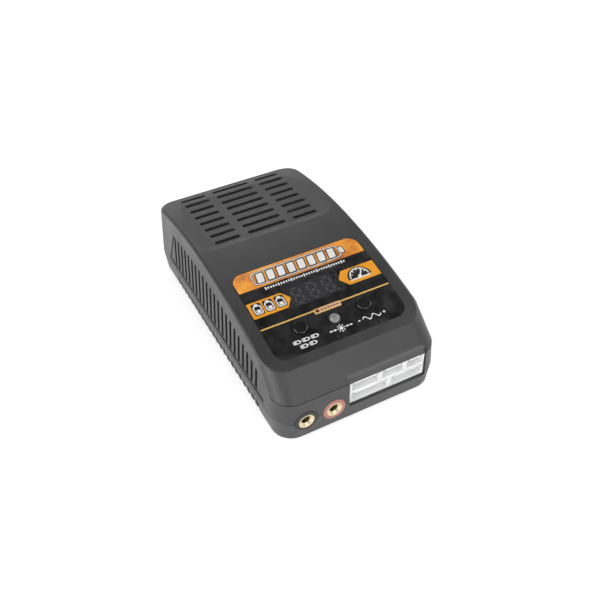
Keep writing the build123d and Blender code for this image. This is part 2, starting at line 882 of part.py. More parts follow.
with BuildPart() as control_board_screws:
    with BuildSketch(control_plane.offset(control_board_bottom)):
        with Locations(*control_posts):
            Circle(board_screw_head)
    extrude(amount=-board_screw_head_height)
    with BuildSketch(control_plane.offset(control_board_bottom)):
        with Locations(*control_posts):
            Circle(board_screw_radius)
    extrude(amount=control_board_thickness + board_screw_grip)
control_board_screws.part.label = "control_board_screws"
export_step(control_board_screws.part, "parts/control_board_screws.step")

# ---------------------------------------------------------------- 4 mm sockets
def make_sleeve(x):
    """Plastic collar of a socket: flange in its counterbore, barrel through the wall."""
    with BuildPart() as sleeve:
        with BuildSketch(Plane.XZ.offset(-front_y)):
            with Locations((x, seam_z)):
                Circle(flange_radius)
        extrude(amount=-flange_thickness)
        fillet(sleeve.faces().sort_by(Axis.Y)[0].edges(), flange_rounding)
        with BuildSketch(Plane.XZ.offset(-front_y - flange_thickness)):
            with Locations((x, seam_z)):
                Circle(sleeve_radius)
        extrude(amount=-(sleeve_length - flange_thickness))
        with BuildSketch(Plane.XZ.offset(-front_y)):
            with Locations((x, seam_z)):
                Circle(contact_radius)
        extrude(amount=-sleeve_length, mode=Mode.SUBTRACT)
    return sleeve.part


def make_contact(x):
    """Gold-plated tube: countersunk mouth, 4 mm bore, and a foot soldered to the main board."""
    with BuildPart() as contact:
        with BuildSketch(Plane.XZ.offset(-front_y)):
            with Locations((x, seam_z)):
                Circle(contact_radius)
        extrude(amount=-contact_length)
        with BuildSketch(Plane.XZ.offset(-front_y)):
            with Locations((x, seam_z)):
                Circle(socket_bore_radius)
        extrude(amount=-(contact_length - contact_floor), mode=Mode.SUBTRACT)
        chamfer(contact.faces().sort_by(Axis.Y)[0].edges().sort_by(SortBy.LENGTH)[0], contact_countersink)
        tab_start = front_y + contact_length
        with BuildSketch(Plane.XY.offset(board_top)):
            with Locations((x, tab_start + contact_tab_length / 2)):
                Rectangle(contact_tab_width, contact_tab_length)
        extrude(amount=contact_tab_thickness)
    return contact.part


for name, x in zip(("negative", "positive"), socket_places):
    sleeve = make_sleeve(x)
    sleeve.label = name + "_socket_sleeve"
    export_step(sleeve, "parts/" + name + "_socket_sleeve.step")
    contact = make_contact(x)
    contact.label = name + "_contact"
    export_step(contact, "parts/" + name + "_contact.step")

# ---------------------------------------------------------------- balance headers
def pin_places(pins, x, bottom_z):
    """Centres of a header's pins on the front plane."""
    first = x - header_pitch * (pins - 1) / 2
    return [(first + header_pitch * i, bottom_z + header_height / 2) for i in range(pins)]


def make_header(pins, x, bottom_z):
    """Shroud of one keyed header, open to the front, with a polarising slot at each end."""
    length = header_length(pins)
    cavity_z = bottom_z + header_height / 2
    slot_offset = length / 2 - header_wall - header_slot_inset
    with BuildPart() as header:
        with BuildSketch(Plane.XZ.offset(-header_back)):
            with Locations((x, cavity_z)):
                Rectangle(length, header_height)
        extrude(amount=header_depth)
        with BuildSketch(Plane.XZ.offset(-header_back + header_base)):
            with Locations((x, cavity_z)):
                Rectangle(length - 2 * header_wall, header_height - 2 * header_wall)
        extrude(amount=header_depth, mode=Mode.SUBTRACT)
        with BuildSketch(Plane.XZ.offset(-header_back + header_depth - header_slot_depth)):
            for side in (-1, 1):
                with Locations((x + side * slot_offset, bottom_z + header_height)):
                    Rectangle(header_slot_width, 2 * header_wall)
        extrude(amount=header_slot_depth, mode=Mode.SUBTRACT)
        with BuildSketch(Plane.XZ.offset(-header_back)):
            with Locations(*pin_places(pins, x, bottom_z)):
                Rectangle(pin_width, pin_width)
        extrude(amount=header_base, mode=Mode.SUBTRACT)
    return header.part


for pins, x, bottom_z in headers:
    header = make_header(pins, x, bottom_z)
    header.label = "balance_header_" + str(pins) + "_pin"
    export_step(header, "parts/balance_header_" + str(pins) + "_pin.step")

all_pins = [place for header_spec in headers for place in pin_places(*header_spec)]
with BuildPart() as balance_header_pins:
    with BuildSketch(Plane.XZ.offset(-balance_board_rear - pin_tail)):
        with Locations(*all_pins):
            Rectangle(pin_width, pin_width)
    extrude(amount=balance_board_rear + pin_tail - header_front - pin_recess)
balance_header_pins.part.label = "balance_header_pins"
export_step(balance_header_pins.part, "parts/balance_header_pins.step")

with BuildPart() as balance_board:
    with BuildSketch(Plane.XZ.offset(-header_back)):
        with Locations(((header_left + header_right) / 2, (board_top + headers_top) / 2)):
            Rectangle(header_right - header_left, headers_top - board_top)
        with Locations(*all_pins):
            Rectangle(pin_width, pin_width, mode=Mode.SUBTRACT)
    extrude(amount=-board_thickness)
balance_board.part.label = "balance_board"
export_step(balance_board.part, "parts/balance_board.step")

# ---------------------------------------------------------------- main board
board_half_width = case_width / 2 - tray_inset - wall - board_side_gap
board_front = front_y + wall + board_front_gap
board_rear = rear_y - wall - board_front_gap - tray_inset
notch_rear = front_y + contact_length
notch_right = header_left - board_notch_gap
with BuildPart() as main_board:
    with BuildSketch(Plane.XY.offset(board_bottom)):
        with Locations((0, (board_front + board_rear) / 2)):
            RectangleRounded(2 * board_half_width, board_rear - board_front, corner_radius - wall)
        with Locations(((notch_right - case_width / 2) / 2, board_front)):
            Rectangle(
                notch_right + case_width / 2, 2 * (notch_rear - board_front), mode=Mode.SUBTRACT
            )
        with Locations(*screw_places):
            Circle(post_radius + post_clearance, mode=Mode.SUBTRACT)
        with Locations(*[(2 * x, y) for x, y in screw_places]):
            Rectangle(
                2 * case_screw_half_spacing, 2 * (post_radius + post_clearance), mode=Mode.SUBTRACT
            )
        with Locations(*board_screw_places):
            Circle(board_screw_radius + screw_clearance, mode=Mode.SUBTRACT)
    extrude(amount=board_thickness)
main_board.part.label = "main_board"
export_step(main_board.part, "parts/main_board.step")

with BuildPart() as board_screws:
    with BuildSketch(Plane.XY.offset(board_top)):
        with Locations(*board_screw_places):
            Circle(board_screw_head)
    extrude(amount=board_screw_head_height)
    fillet(board_screws.edges().group_by(Axis.Z)[-1], board_screw_head_height / 3)
    with BuildSketch(Plane.XY.offset(board_top)):
        with Locations(*board_screw_places):
            Circle(board_screw_radius)
    extrude(amount=-board_thickness - board_screw_grip)
board_screws.part.label = "board_screws"
export_step(board_screws.part, "parts/board_screws.step")

# ---------------------------------------------------------------- parts on the main board
# Places are (x, distance behind the front face), and for the pieces on the mains side
# (x, distance ahead of the rear face); heights are above the board.
transformer_place = (-4.0, 62.5)
core_width = 26.0
core_depth = 8.4
core_chamfer = 0.6
winding_width = 19.0
winding_depth = 22.0
winding_height = 17.5
winding_rounding = 1.5
bobbin_width = 24.0
bobbin_depth = 18.0
bobbin_height = 2.5
mains_capacitor_place = (22.0, 63.0)
mains_capacitor_radius = 8.0
mains_capacitor_height = 22.0
output_capacitor_places = [(-3.0, 22.0), (6.5, 22.0), (16.0, 22.0)]
output_capacitor_radius = 4.0
output_capacitor_height = 10.5
can_rim = 0.5
can_groove_depth = 0.6
can_groove_rise = 1.6
can_groove_width = 1.2
suppression_place = (-16.0, 23.5)
suppression_size = (18.0, 7.0, 10.5)
choke_place = (5.0, 37.5)
choke_size = (16.0, 12.0, 10.0)
inductor_place = (-19.5, 40.0)
inductor_radius = 8.5
inductor_hole = 3.6
inductor_height = 7.5
inductor_rounding = 1.5
primary_sink_place = (-26.5, 67.0)
primary_sink_size = (3.0, 24.0, 18.0)
secondary_sink_place = (4.0, 48.0)
secondary_sink_size = (26.0, 3.0, 15.0)
fin_count = 5
fin_depth = 2.5
fin_thickness = 1.2
semiconductor_size = (10.0, 4.4, 14.0)
semiconductor_lift = 2.0
lead_pitch = 2.54
lead_width = 0.9
lead_thickness = 0.6
bridge_place = (-14.0, 39.5)
bridge_size = (14.5, 3.6, 10.0)
fuse_place = (19.5, 37.5)
fuse_radius = 2.6
fuse_length = 20.0
fuse_lift = 1.0
fuse_cap_length = 5.0
fuse_cap_step = 0.3
fuse_leg = 2.0
chip_place = (22.0, 35.0)
chip_size = (10.0, 10.0, 1.4)
resistor_size = (3.2, 6.3, 0.8)
resistor_count = 6
resistor_pitch = 5.0
resistor_gap = 0.9


def on_board(place):
    """A place on the main board, from its x and its distance behind the front face."""
    return (place[0], front_y + place[1])


def on_mains_side(place):
    """A place on the main board, from its x and its distance ahead of the rear face."""
    return (place[0], rear_y - place[1])


# Transformer: taped winding on a bobbin, with the ferrite core across its middle.
with BuildPart() as transformer_winding:
    with BuildSketch(Plane.XY.offset(board_top)):
        with Locations(on_mains_side(transformer_place)):
            RectangleRounded(winding_width, winding_depth, winding_rounding)
    extrude(amount=winding_height)
    with BuildSketch(Plane.XY.offset(board_top)):
        with Locations(on_mains_side(transformer_place)):
            Rectangle(bobbin_width, bobbin_depth)
    extrude(amount=bobbin_height)
transformer_winding.part.label = "transformer_winding"
export_step(transformer_winding.part, "parts/transformer_winding.step")

with BuildPart() as transformer_core:
    with BuildSketch(Plane.XY.offset(board_top + bobbin_height)):
        with Locations(on_mains_side(transformer_place)):
            Rectangle(core_width, core_depth)
    extrude(amount=winding_height)
    chamfer(transformer_core.edges().filter_by(Axis.Z), core_chamfer)
    add(transformer_winding.part, mode=Mode.SUBTRACT)
transformer_core.part.label = "transformer_core"
export_step(transformer_core.part, "parts/transformer_core.step")


def standing_cans(places, radius, height):
    """Electrolytic capacitors standing on the board, with the groove rolled into the can."""
    groove_bottom = board_top + can_groove_rise
    groove_top = groove_bottom + can_groove_width
    can_top = board_top + height
    with BuildPart() as cans:
        for x, y in places:
            with BuildSketch(Plane.XZ.offset(-y)):
                with BuildLine():
                    Polyline(
                        (x, board_top),
                        (x + radius - can_rim, board_top),
                        (x + radius, board_top + can_rim),
                        (x + radius, groove_bottom),
                        (x + radius - can_groove_depth, (groove_bottom + groove_top) / 2),
                        (x + radius, groove_top),
                        (x + radius, can_top - can_rim),
                        (x + radius - can_rim, can_top),
                        (x, can_top),
                        close=True,
                    )
                make_face()
            revolve(axis=Axis((x, y, 0), (0, 0, 1)))
    return cans.part


for name, places, radius, height in (
    (
        "mains_capacitor",
        [on_mains_side(mains_capacitor_place)],
        mains_capacitor_radius,
        mains_capacitor_height,
    ),
    (
        "output_capacitors",
        [on_board(place) for place in output_capacitor_places],
        output_capacitor_radius,
        output_capacitor_height,
    ),
):
    cans = standing_cans(places, radius, height)
    cans.label = name
    export_step(cans, "parts/" + name + ".step")


def board_block(place, size, rounding):
    """A moulded block that stands on the main board."""
    with BuildPart() as block:
        with BuildSketch(Plane.XY.offset(board_top)):
            with Locations(place):
                Rectangle(size[0], size[1])
        extrude(amount=size[2])
        fillet(block.edges().filter_by(Axis.Z), rounding)
    return block.part


for name, place, size, rounding in (
    ("suppression_capacitor", on_mains_side(suppression_place), suppression_size, 0.8),
    ("mains_choke", on_mains_side(choke_place), choke_size, 1.5),
    ("bridge_rectifier", on_mains_side(bridge_place), bridge_size, 0.5),
    ("controller_chip", on_board(chip_place), chip_size, 0.2),
):
    block = board_block(place, size, rounding)
    block.label = name
    export_step(block, "parts/" + name + ".step")

# Ring core lying on the board.
with BuildPart() as output_inductor:
    with BuildSketch(Plane.XY.offset(board_top)):
        with Locations(on_board(inductor_place)):
            Circle(inductor_radius)
            Circle(inductor_hole, mode=Mode.SUBTRACT)
    extrude(amount=inductor_height)
    fillet(output_inductor.edges(), inductor_rounding)
output_inductor.part.label = "output_inductor"
export_step(output_inductor.part, "parts/output_inductor.step")


def heat_sink(place, size, fins_to_left):
    """Finned aluminium plate standing on the board, its fins to the left or to the rear."""
    x, y = place
    with BuildPart() as sink:
        with BuildSketch(Plane.XY.offset(board_top)):
            with Locations((x, y)):
                Rectangle(size[0], size[1])
            if fins_to_left:
                with Locations((x - (size[0] + fin_depth) / 2, y)):
                    with GridLocations(0, size[1] / fin_count, 1, fin_count):
                        Rectangle(fin_depth, fin_thickness)
            else:
                with Locations((x, y + (size[1] + fin_depth) / 2)):
                    with GridLocations(size[0] / fin_count, 0, fin_count, 1):
                        Rectangle(fin_thickness, fin_depth)
        extrude(amount=size[2])
    return sink.part


for name, place, size, fins_to_left in (
    ("primary_heat_sink", on_mains_side(primary_sink_place), primary_sink_size, True),
    ("secondary_heat_sink", on_board(secondary_sink_place), secondary_sink_size, False),
):
    sink = heat_sink(place, size, fins_to_left)
    sink.label = name
    export_step(sink, "parts/" + name + ".step")

# Two tab-mounted semiconductors, each against its heat sink, with three leads to the board.
body_width, body_depth, body_height = semiconductor_size
primary_x, primary_y = on_mains_side(primary_sink_place)
secondary_x, secondary_y = on_board(secondary_sink_place)
with BuildPart() as power_semiconductors:
    primary_face = primary_x + primary_sink_size[0] / 2
    secondary_face = secondary_y - secondary_sink_size[1] / 2
    with BuildSketch(Plane.XY.offset(board_top + semiconductor_lift)):
        with Locations((primary_face + body_depth / 2, primary_y)):
            Rectangle(body_depth, body_width)
        with Locations((secondary_x, secondary_face - body_depth / 2)):
            Rectangle(body_width, body_depth)
    extrude(amount=body_height - semiconductor_lift)
    with BuildSketch(Plane.XY.offset(board_top)):
        with Locations((primary_face + body_depth / 2, primary_y)):
            with GridLocations(0, lead_pitch, 1, 3):
                Rectangle(lead_thickness, lead_width)
        with Locations((secondary_x, secondary_face - body_depth / 2)):
            with GridLocations(lead_pitch, 0, 3, 1):
                Rectangle(lead_width, lead_thickness)
    extrude(amount=semiconductor_lift)
power_semiconductors.part.label = "power_semiconductors"
export_step(power_semiconductors.part, "parts/power_semiconductors.step")

# Tubular fuse with end caps and bent legs.
fuse_x, fuse_y = on_mains_side(fuse_place)
fuse_z = board_top + fuse_lift + fuse_radius
with BuildPart() as mains_fuse:
    with BuildSketch(Plane.XZ.offset(-fuse_y - fuse_length / 2)):
        with Locations((fuse_x, fuse_z)):
            Circle(fuse_radius - fuse_cap_step)
    extrude(amount=fuse_length)
    for end_y in (fuse_y + fuse_length / 2, fuse_y - fuse_length / 2 + fuse_cap_length):
        with BuildSketch(Plane.XZ.offset(-end_y)):
            with Locations((fuse_x, fuse_z)):
                Circle(fuse_radius)
        extrude(amount=fuse_cap_length)
    with BuildSketch(Plane.XY.offset(board_top)):
        with Locations((fuse_x, fuse_y)):
            with GridLocations(0, fuse_length - fuse_cap_length, 1, 2):
                Rectangle(fuse_leg, fuse_leg)
    extrude(amount=fuse_lift + fuse_radius / 2)
mains_fuse.part.label = "mains_fuse"
export_step(mains_fuse.part, "parts/mains_fuse.step")

# Six surface-mounted resistors that bleed the cells, behind the balance board.
with BuildPart() as balance_resistors:
    with BuildSketch(Plane.XY.offset(board_top)):
        resistor_x = (header_left + header_right) / 2
        with Locations((resistor_x, balance_board_rear + resistor_size[1] / 2 + resistor_gap)):
            with GridLocations(resistor_pitch, 0, resistor_count, 1):
                Rectangle(resistor_size[0], resistor_size[1])
    extrude(amount=resistor_size[2])
balance_resistors.part.label = "balance_resistors"
export_step(balance_resistors.part, "parts/balance_resistors.step")

# ---------------------------------------------------------------- mains inlet
with BuildPart() as mains_inlet:
    with BuildSketch(Plane.XZ.offset(-rear_y)):
        with Locations((inlet_x, inlet_z)):
            RectangleRounded(inlet_nose_width, inlet_nose_height, inlet_rounding)
    extrude(amount=inlet_depth)
    with BuildSketch(Plane.XZ.offset(-rear_y + wall + inlet_body_gap)):
        with Locations((inlet_x, (board_top + inlet_bottom + inlet_nose_height) / 2)):
            Rectangle(inlet_body_width, inlet_bottom + inlet_nose_height - board_top)
    extrude(amount=inlet_depth - wall - inlet_body_gap)
    with BuildSketch(Plane.XZ.offset(-rear_y)):
        with Locations((inlet_x, inlet_z)):
            SlotOverall(inlet_cavity_width, 2 * inlet_lobe_radius)
    extrude(amount=inlet_cavity_depth, mode=Mode.SUBTRACT)
    with BuildSketch(Plane.XZ.offset(-rear_y + inlet_cavity_depth)):
        with Locations((inlet_x, inlet_z)):
            with GridLocations(inlet_pin_spacing, 0, 2, 1):
                Circle(inlet_pin_radius)
    extrude(amount=inlet_depth, mode=Mode.SUBTRACT)
mains_inlet.part.label = "mains_inlet"
export_step(mains_inlet.part, "parts/mains_inlet.step")

with BuildPart() as mains_inlet_pins:
    with BuildSketch(Plane.XZ.offset(-rear_y + inlet_pin_recess)):
        with Locations((inlet_x, inlet_z)):
            with GridLocations(inlet_pin_spacing, 0, 2, 1):
                Circle(inlet_pin_radius)
    extrude(amount=inlet_depth - inlet_pin_recess)
    fillet(mains_inlet_pins.edges().group_by(Axis.Y)[-1], inlet_pin_rounding)
mains_inlet_pins.part.label = "mains_inlet_pins"
export_step(mains_inlet_pins.part, "parts/mains_inlet_pins.step")

# ---------------------------------------------------------------- cooling fan
# The fan hangs from the stand-offs below the dish, and turns about the dish's normal.
fan_top = -wall - fan_standoff
fan_bottom = fan_top - fan_thickness
rotor_height = fan_thickness - fan_hub_floor - 2 * rotor_gap
blade_middle = panel_plane.offset(fan_bottom + fan_thickness / 2)
with BuildPart() as fan_frame:
    with BuildSketch(panel_plane.offset(fan_bottom)):
        RectangleRounded(fan_size, fan_size, fan_corner_radius)
        Circle(fan_bore_radius, mode=Mode.SUBTRACT)
        with GridLocations(fan_hole_spacing, fan_hole_spacing, 2, 2):
            Circle(fan_screw_radius + fan_screw_clearance, mode=Mode.SUBTRACT)
    extrude(amount=fan_thickness)
    with BuildSketch(panel_plane.offset(fan_bottom)):
        Circle(fan_hub_radius)
        with PolarLocations((fan_hub_radius + fan_bore_radius) / 2, strut_count, start_angle=strut_turn):
            Rectangle(fan_bore_radius - fan_hub_radius + 2, strut_width)
    extrude(amount=fan_hub_floor)
    with BuildSketch(panel_plane.offset(fan_bottom)):
        Circle(fan_bearing_radius)
    extrude(amount=bearing_height)
    with BuildSketch(panel_plane.offset(fan_bottom + fan_hub_floor)):
        Circle(fan_shaft_radius + fan_shaft_fit)
    extrude(amount=fan_thickness, mode=Mode.SUBTRACT)
fan_frame.part.label = "fan_frame"
export_step(fan_frame.part, "parts/fan_frame.step")

# Wound poles around the bearing tube.
with BuildPart() as fan_stator:
    with BuildSketch(panel_plane.offset(fan_bottom + fan_hub_floor)):
        Circle(stator_radius)
        with PolarLocations(stator_radius, pole_count):
            Rectangle(2 * pole_gap_depth, pole_gap_width, mode=Mode.SUBTRACT)
        Circle(fan_bearing_radius, mode=Mode.SUBTRACT)
    extrude(amount=stator_height)
fan_stator.part.label = "fan_stator"
export_step(fan_stator.part, "parts/fan_stator.step")

with BuildPart() as fan_rotor:
    blade_root = fan_hub_radius - hub_wall
    for turn in range(fan_blades):
        angle = radians(turn * 360 / fan_blades)
        outward = panel_plane.x_dir * cos(angle) + panel_plane.y_dir * sin(angle)
        around = panel_plane.y_dir * cos(angle) - panel_plane.x_dir * sin(angle)
        blade_start = blade_middle.origin + outward * blade_root
        with BuildSketch(Plane(origin=blade_start, x_dir=around, z_dir=outward)):
            Rectangle(blade_chord, blade_thickness, rotation=blade_pitch)
        extrude(amount=fan_tip_radius - blade_root + 1)
    with BuildSketch(panel_plane.offset(fan_bottom + fan_hub_floor + rotor_gap)):
        Circle(fan_tip_radius)
    extrude(amount=rotor_height, mode=Mode.INTERSECT)
    with BuildSketch(panel_plane.offset(fan_bottom + fan_hub_floor + rotor_gap)):
        Circle(fan_hub_radius)
    extrude(amount=rotor_height)
    with BuildSketch(panel_plane.offset(fan_bottom)):
        Circle(fan_hub_radius - hub_wall)
    extrude(amount=fan_hub_floor + rotor_gap + rotor_height - hub_wall, mode=Mode.SUBTRACT)
    with BuildSketch(panel_plane.offset(fan_bottom + fan_hub_floor + rotor_gap)):
        Circle(fan_shaft_radius)
    extrude(amount=rotor_height - hub_wall / 2)
fan_rotor.part.label = "fan_rotor"
export_step(fan_rotor.part, "parts/fan_rotor.step")

with BuildPart() as fan_screws:
    with BuildSketch(panel_plane.offset(fan_bottom)):
        with GridLocations(fan_hole_spacing, fan_hole_spacing, 2, 2):
            Circle(fan_screw_head)
    extrude(amount=-fan_screw_head_height)
    with BuildSketch(panel_plane.offset(fan_bottom)):
        with GridLocations(fan_hole_spacing, fan_hole_spacing, 2, 2):
            Circle(fan_screw_radius)
    extrude(amount=fan_thickness + fan_standoff - screw_clearance)
fan_screws.part.label = "fan_screws"
export_step(fan_screws.part, "parts/fan_screws.step")

# ---------------------------------------------------------------- wiring inside the case
def flat_cable(x, y, top_z, width, thickness):
    """Flat cable from the board up to a fitting above, with a slack bend towards the front."""
    middle_z = (board_top + top_z) / 2
    quarter = (top_z - board_top) / 4
    with BuildPart() as cable:
        with BuildSketch(Plane.YZ.offset(x - width / 2)):
            with BuildLine():
                FilletPolyline(
                    (y, board_top),
                    (y, middle_z - quarter),
                    (y - cable_bulge, middle_z),
                    (y, middle_z + quarter),
                    (y, top_z),
                    radius=cable_bend,
                )
            trace(line_width=thickness)
        extrude(amount=width)
    return cable.part


# Ribbon from the main board to the underside of the control board.
ribbon_along = (ribbon_setback - panel_setback) / cos(radians(control_angle))
underside_point = control_plane.offset(control_board_bottom).from_local_coords((0, ribbon_along, 0))
ribbon_top = underside_point.Z - cable_end_gap
ribbon_cable = flat_cable(ribbon_x, underside_point.Y, ribbon_top, ribbon_width, ribbon_thickness)
ribbon_cable.label = "ribbon_cable"
export_step(ribbon_cable, "parts/ribbon_cable.step")

# Two-core lead from the fan's frame to the main board.
lead_point = panel_plane.offset(fan_bottom).from_local_coords((0, fan_lead_inset - fan_size / 2, 0))
lead_top = lead_point.Z - cable_end_gap
fan_lead = flat_cable(fan_lead_x, lead_point.Y, lead_top, fan_lead_width, fan_lead_thickness)
fan_lead.label = "fan_lead"
export_step(fan_lead, "parts/fan_lead.step")
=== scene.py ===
import math

import bmesh
import bpy
import numpy as np
from mathutils import Matrix, Vector


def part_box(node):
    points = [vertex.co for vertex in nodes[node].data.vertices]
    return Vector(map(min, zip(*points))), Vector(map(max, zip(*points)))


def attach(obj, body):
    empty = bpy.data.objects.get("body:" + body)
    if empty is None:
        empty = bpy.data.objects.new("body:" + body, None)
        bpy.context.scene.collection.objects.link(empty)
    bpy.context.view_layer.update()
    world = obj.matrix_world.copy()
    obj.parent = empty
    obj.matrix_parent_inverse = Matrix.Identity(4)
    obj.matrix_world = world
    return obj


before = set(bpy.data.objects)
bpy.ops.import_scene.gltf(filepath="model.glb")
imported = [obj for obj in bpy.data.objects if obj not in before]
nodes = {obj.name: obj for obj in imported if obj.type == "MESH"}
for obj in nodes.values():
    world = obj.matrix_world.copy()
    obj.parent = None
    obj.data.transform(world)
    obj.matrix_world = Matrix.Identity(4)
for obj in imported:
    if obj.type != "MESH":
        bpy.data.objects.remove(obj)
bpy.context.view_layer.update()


# ---------------------------------------------------------------- lower shell
# The tray of the case: black ABS moulded with a fine spark-eroded grain, open at the top,
# with notches through its lower edges. Four screws pull the upper shell down on its rim.
def moulded_group():
    """Node group for a moulded surface: a slow noise makes colour and gloss uneven, and a fine noise
    raises the grain that the mould leaves. Colour = colour x (1 + spread x noise)."""
    group = bpy.data.node_groups.new("moulded surface", "ShaderNodeTree")
    sockets = group.interface.new_socket
    for name, kind, value in (
        ("Colour", "NodeSocketColor", (0.5, 0.5, 0.5, 1.0)),
        ("Colour spread", "NodeSocketFloat", 0.1),
        ("Patches per metre", "NodeSocketFloat", 60.0),
        ("Roughness", "NodeSocketFloat", 0.5),
        ("Roughness spread", "NodeSocketFloat", 0.05),
        ("Grains per metre", "NodeSocketFloat", 2500.0),
        ("Grain height", "NodeSocketFloat", 0.00002),
    ):
        sockets(name=name, in_out="INPUT", socket_type=kind).default_value = value
    sockets(name="Colour", in_out="OUTPUT", socket_type="NodeSocketColor")
    sockets(name="Roughness", in_out="OUTPUT", socket_type="NodeSocketFloat")
    sockets(name="Normal", in_out="OUTPUT", socket_type="NodeSocketVector")
    new, link = group.nodes.new, group.links.new
    inside, outside, place = new("NodeGroupInput"), new("NodeGroupOutput"), new("ShaderNodeTexCoord")

    patches = new("ShaderNodeTexNoise")
    patches.inputs["Detail"].default_value = 4.0
    link(place.outputs["Object"], patches.inputs["Vector"])
    link(inside.outputs["Patches per metre"], patches.inputs["Scale"])
    centred = new("ShaderNodeMapRange")
    centred.inputs["From Min"].default_value = 0.3
    centred.inputs["From Max"].default_value = 0.7
    centred.inputs["To Min"].default_value = -1.0
    link(patches.outputs["Fac"], centred.inputs["Value"])

    factor = new("ShaderNodeMath")
    factor.operation = "MULTIPLY_ADD"
    factor.inputs[2].default_value = 1.0
    link(centred.outputs["Result"], factor.inputs[0])
    link(inside.outputs["Colour spread"], factor.inputs[1])
    shaded = new("ShaderNodeVectorMath")
    shaded.operation = "SCALE"
    link(inside.outputs["Colour"], shaded.inputs[0])
    link(factor.outputs[0], shaded.inputs["Scale"])
    link(shaded.outputs[0], outside.inputs["Colour"])

    gloss = new("ShaderNodeMath")
    gloss.operation = "MULTIPLY_ADD"
    link(centred.outputs["Result"], gloss.inputs[0])
    link(inside.outputs["Roughness spread"], gloss.inputs[1])
    link(inside.outputs["Roughness"], gloss.inputs[2])
    link(gloss.outputs[0], outside.inputs["Roughness"])

    grain = new("ShaderNodeTexNoise")
    grain.inputs["Detail"].default_value = 2.0
    link(place.outputs["Object"], grain.inputs["Vector"])
    link(inside.outputs["Grains per metre"], grain.inputs["Scale"])
    bump = new("ShaderNodeBump")
    link(grain.outputs["Fac"], bump.inputs["Height"])
    link(inside.outputs["Grain height"], bump.inputs["Distance"])
    link(bump.outputs["Normal"], outside.inputs["Normal"])
    return group


moulded = moulded_group()


def shader_inputs(finish):
    """Sockets of a material's shader."""
    return finish.node_tree.nodes["Principled BSDF"].inputs


def moulded_finish(name, colour, roughness, metallic=0.0, **surface):
    """A material whose colour, roughness and normal come from the moulded surface group."""
    finish = bpy.data.materials.new(name)
    finish.use_nodes = True
    tree = finish.node_tree
    effect = tree.nodes.new("ShaderNodeGroup")
    effect.node_tree = moulded
    effect.inputs["Colour"].default_value = (*colour, 1.0)
    effect.inputs["Roughness"].default_value = roughness
    for socket, value in surface.items():
        effect.inputs[socket.replace("_", " ")].default_value = value
    for socket, target in (("Colour", "Base Color"), ("Roughness", "Roughness"), ("Normal", "Normal")):
        tree.links.new(effect.outputs[socket], shader_inputs(finish)[target])
    shader_inputs(finish)["Metallic"].default_value = metallic
    return finish


def finish_node(name, finish):
    """Gives a node of the frame its finish, in every material slot that it has."""
    piece = nodes[name]
    if not piece.material_slots:
        piece.data.materials.append(finish)
    for material_slot in piece.material_slots:
        material_slot.material = finish


case_finish = moulded_finish(
    "grained black ABS",
    (0.032, 0.032, 0.033),
    roughness=0.42,
    Colour_spread=0.08,
    Patches_per_metre=90.0,
    Roughness_spread=0.06,
    Grains_per_metre=2000.0,
    Grain_height=0.00009,
)
finish_node("lower_shell", case_finish)

# ---------------------------------------------------------------- feet and screws
# Die-cut rubber feet stuck in shallow seats, and zinc-plated self-tapping screws with a
# cross recess: under the case, on both circuit boards and through the fan's corners.
rubber_finish = moulded_finish(
    "foot rubber",
    (0.02, 0.02, 0.02),
    roughness=0.8,
    Colour_spread=0.2,
    Grains_per_metre=1500.0,
    Grain_height=0.00005,
)
finish_node("rubber_feet", rubber_finish)
screw_finish = moulded_finish(
    "zinc-plated steel",
    (0.56, 0.56, 0.58),
    roughness=0.32,
    metallic=1.0,
    Colour_spread=0.1,
    Patches_per_metre=400.0,
    Roughness_spread=0.08,
    Grain_height=0.00001,
)
for screws in ("case_screws", "board_screws", "control_board_screws", "fan_screws"):
    finish_node(screws, screw_finish)

# ---------------------------------------------------------------- circuit boards
# Green glass-epoxy boards, with tracks showing as slightly lighter lines under the lacquer. The
# main board lies on posts in the tray, the balance board stands upright behind the headers, and
# the control board hangs from short posts of the upper shell.
def tint_from(finish, colour):
    """Leads a colour output into the moulded surface of a material, in place of its plain colour."""
    tree = finish.node_tree
    effect = next(node for node in tree.nodes if node.type == "GROUP")
    tree.links.new(colour, effect.inputs["Colour"])


def lacquered_board(name, lacquer, track_pitch):
    """Board lacquer: brick-like lines on a grid of the track pitch, a little lighter than the ground."""
    finish = moulded_finish(name, lacquer, roughness=0.3, Colour_spread=0.06, Grain_height=0.000004)
    new, link = finish.node_tree.nodes.new, finish.node_tree.links.new
    place, tracks = new("ShaderNodeTexCoord"), new("ShaderNodeTexBrick")
    link(place.outputs["Object"], tracks.inputs["Vector"])
    tracks.inputs["Scale"].default_value = 1.0
    tracks.inputs["Brick Width"].default_value = track_pitch * 6
    tracks.inputs["Row Height"].default_value = track_pitch
    tracks.inputs["Mortar Size"].default_value = track_pitch * 0.12
    for socket, lightness in (("Color1", 1.0), ("Color2", 1.15), ("Mortar", 1.6)):
        tracks.inputs[socket].default_value = (*[part * lightness for part in lacquer], 1.0)
    tint_from(finish, tracks.outputs["Color"])
    return finish


board_finish = lacquered_board("board lacquer", (0.016, 0.11, 0.045), 0.0022)
for board in ("main_board", "balance_board", "control_board"):
    finish_node(board, board_finish)

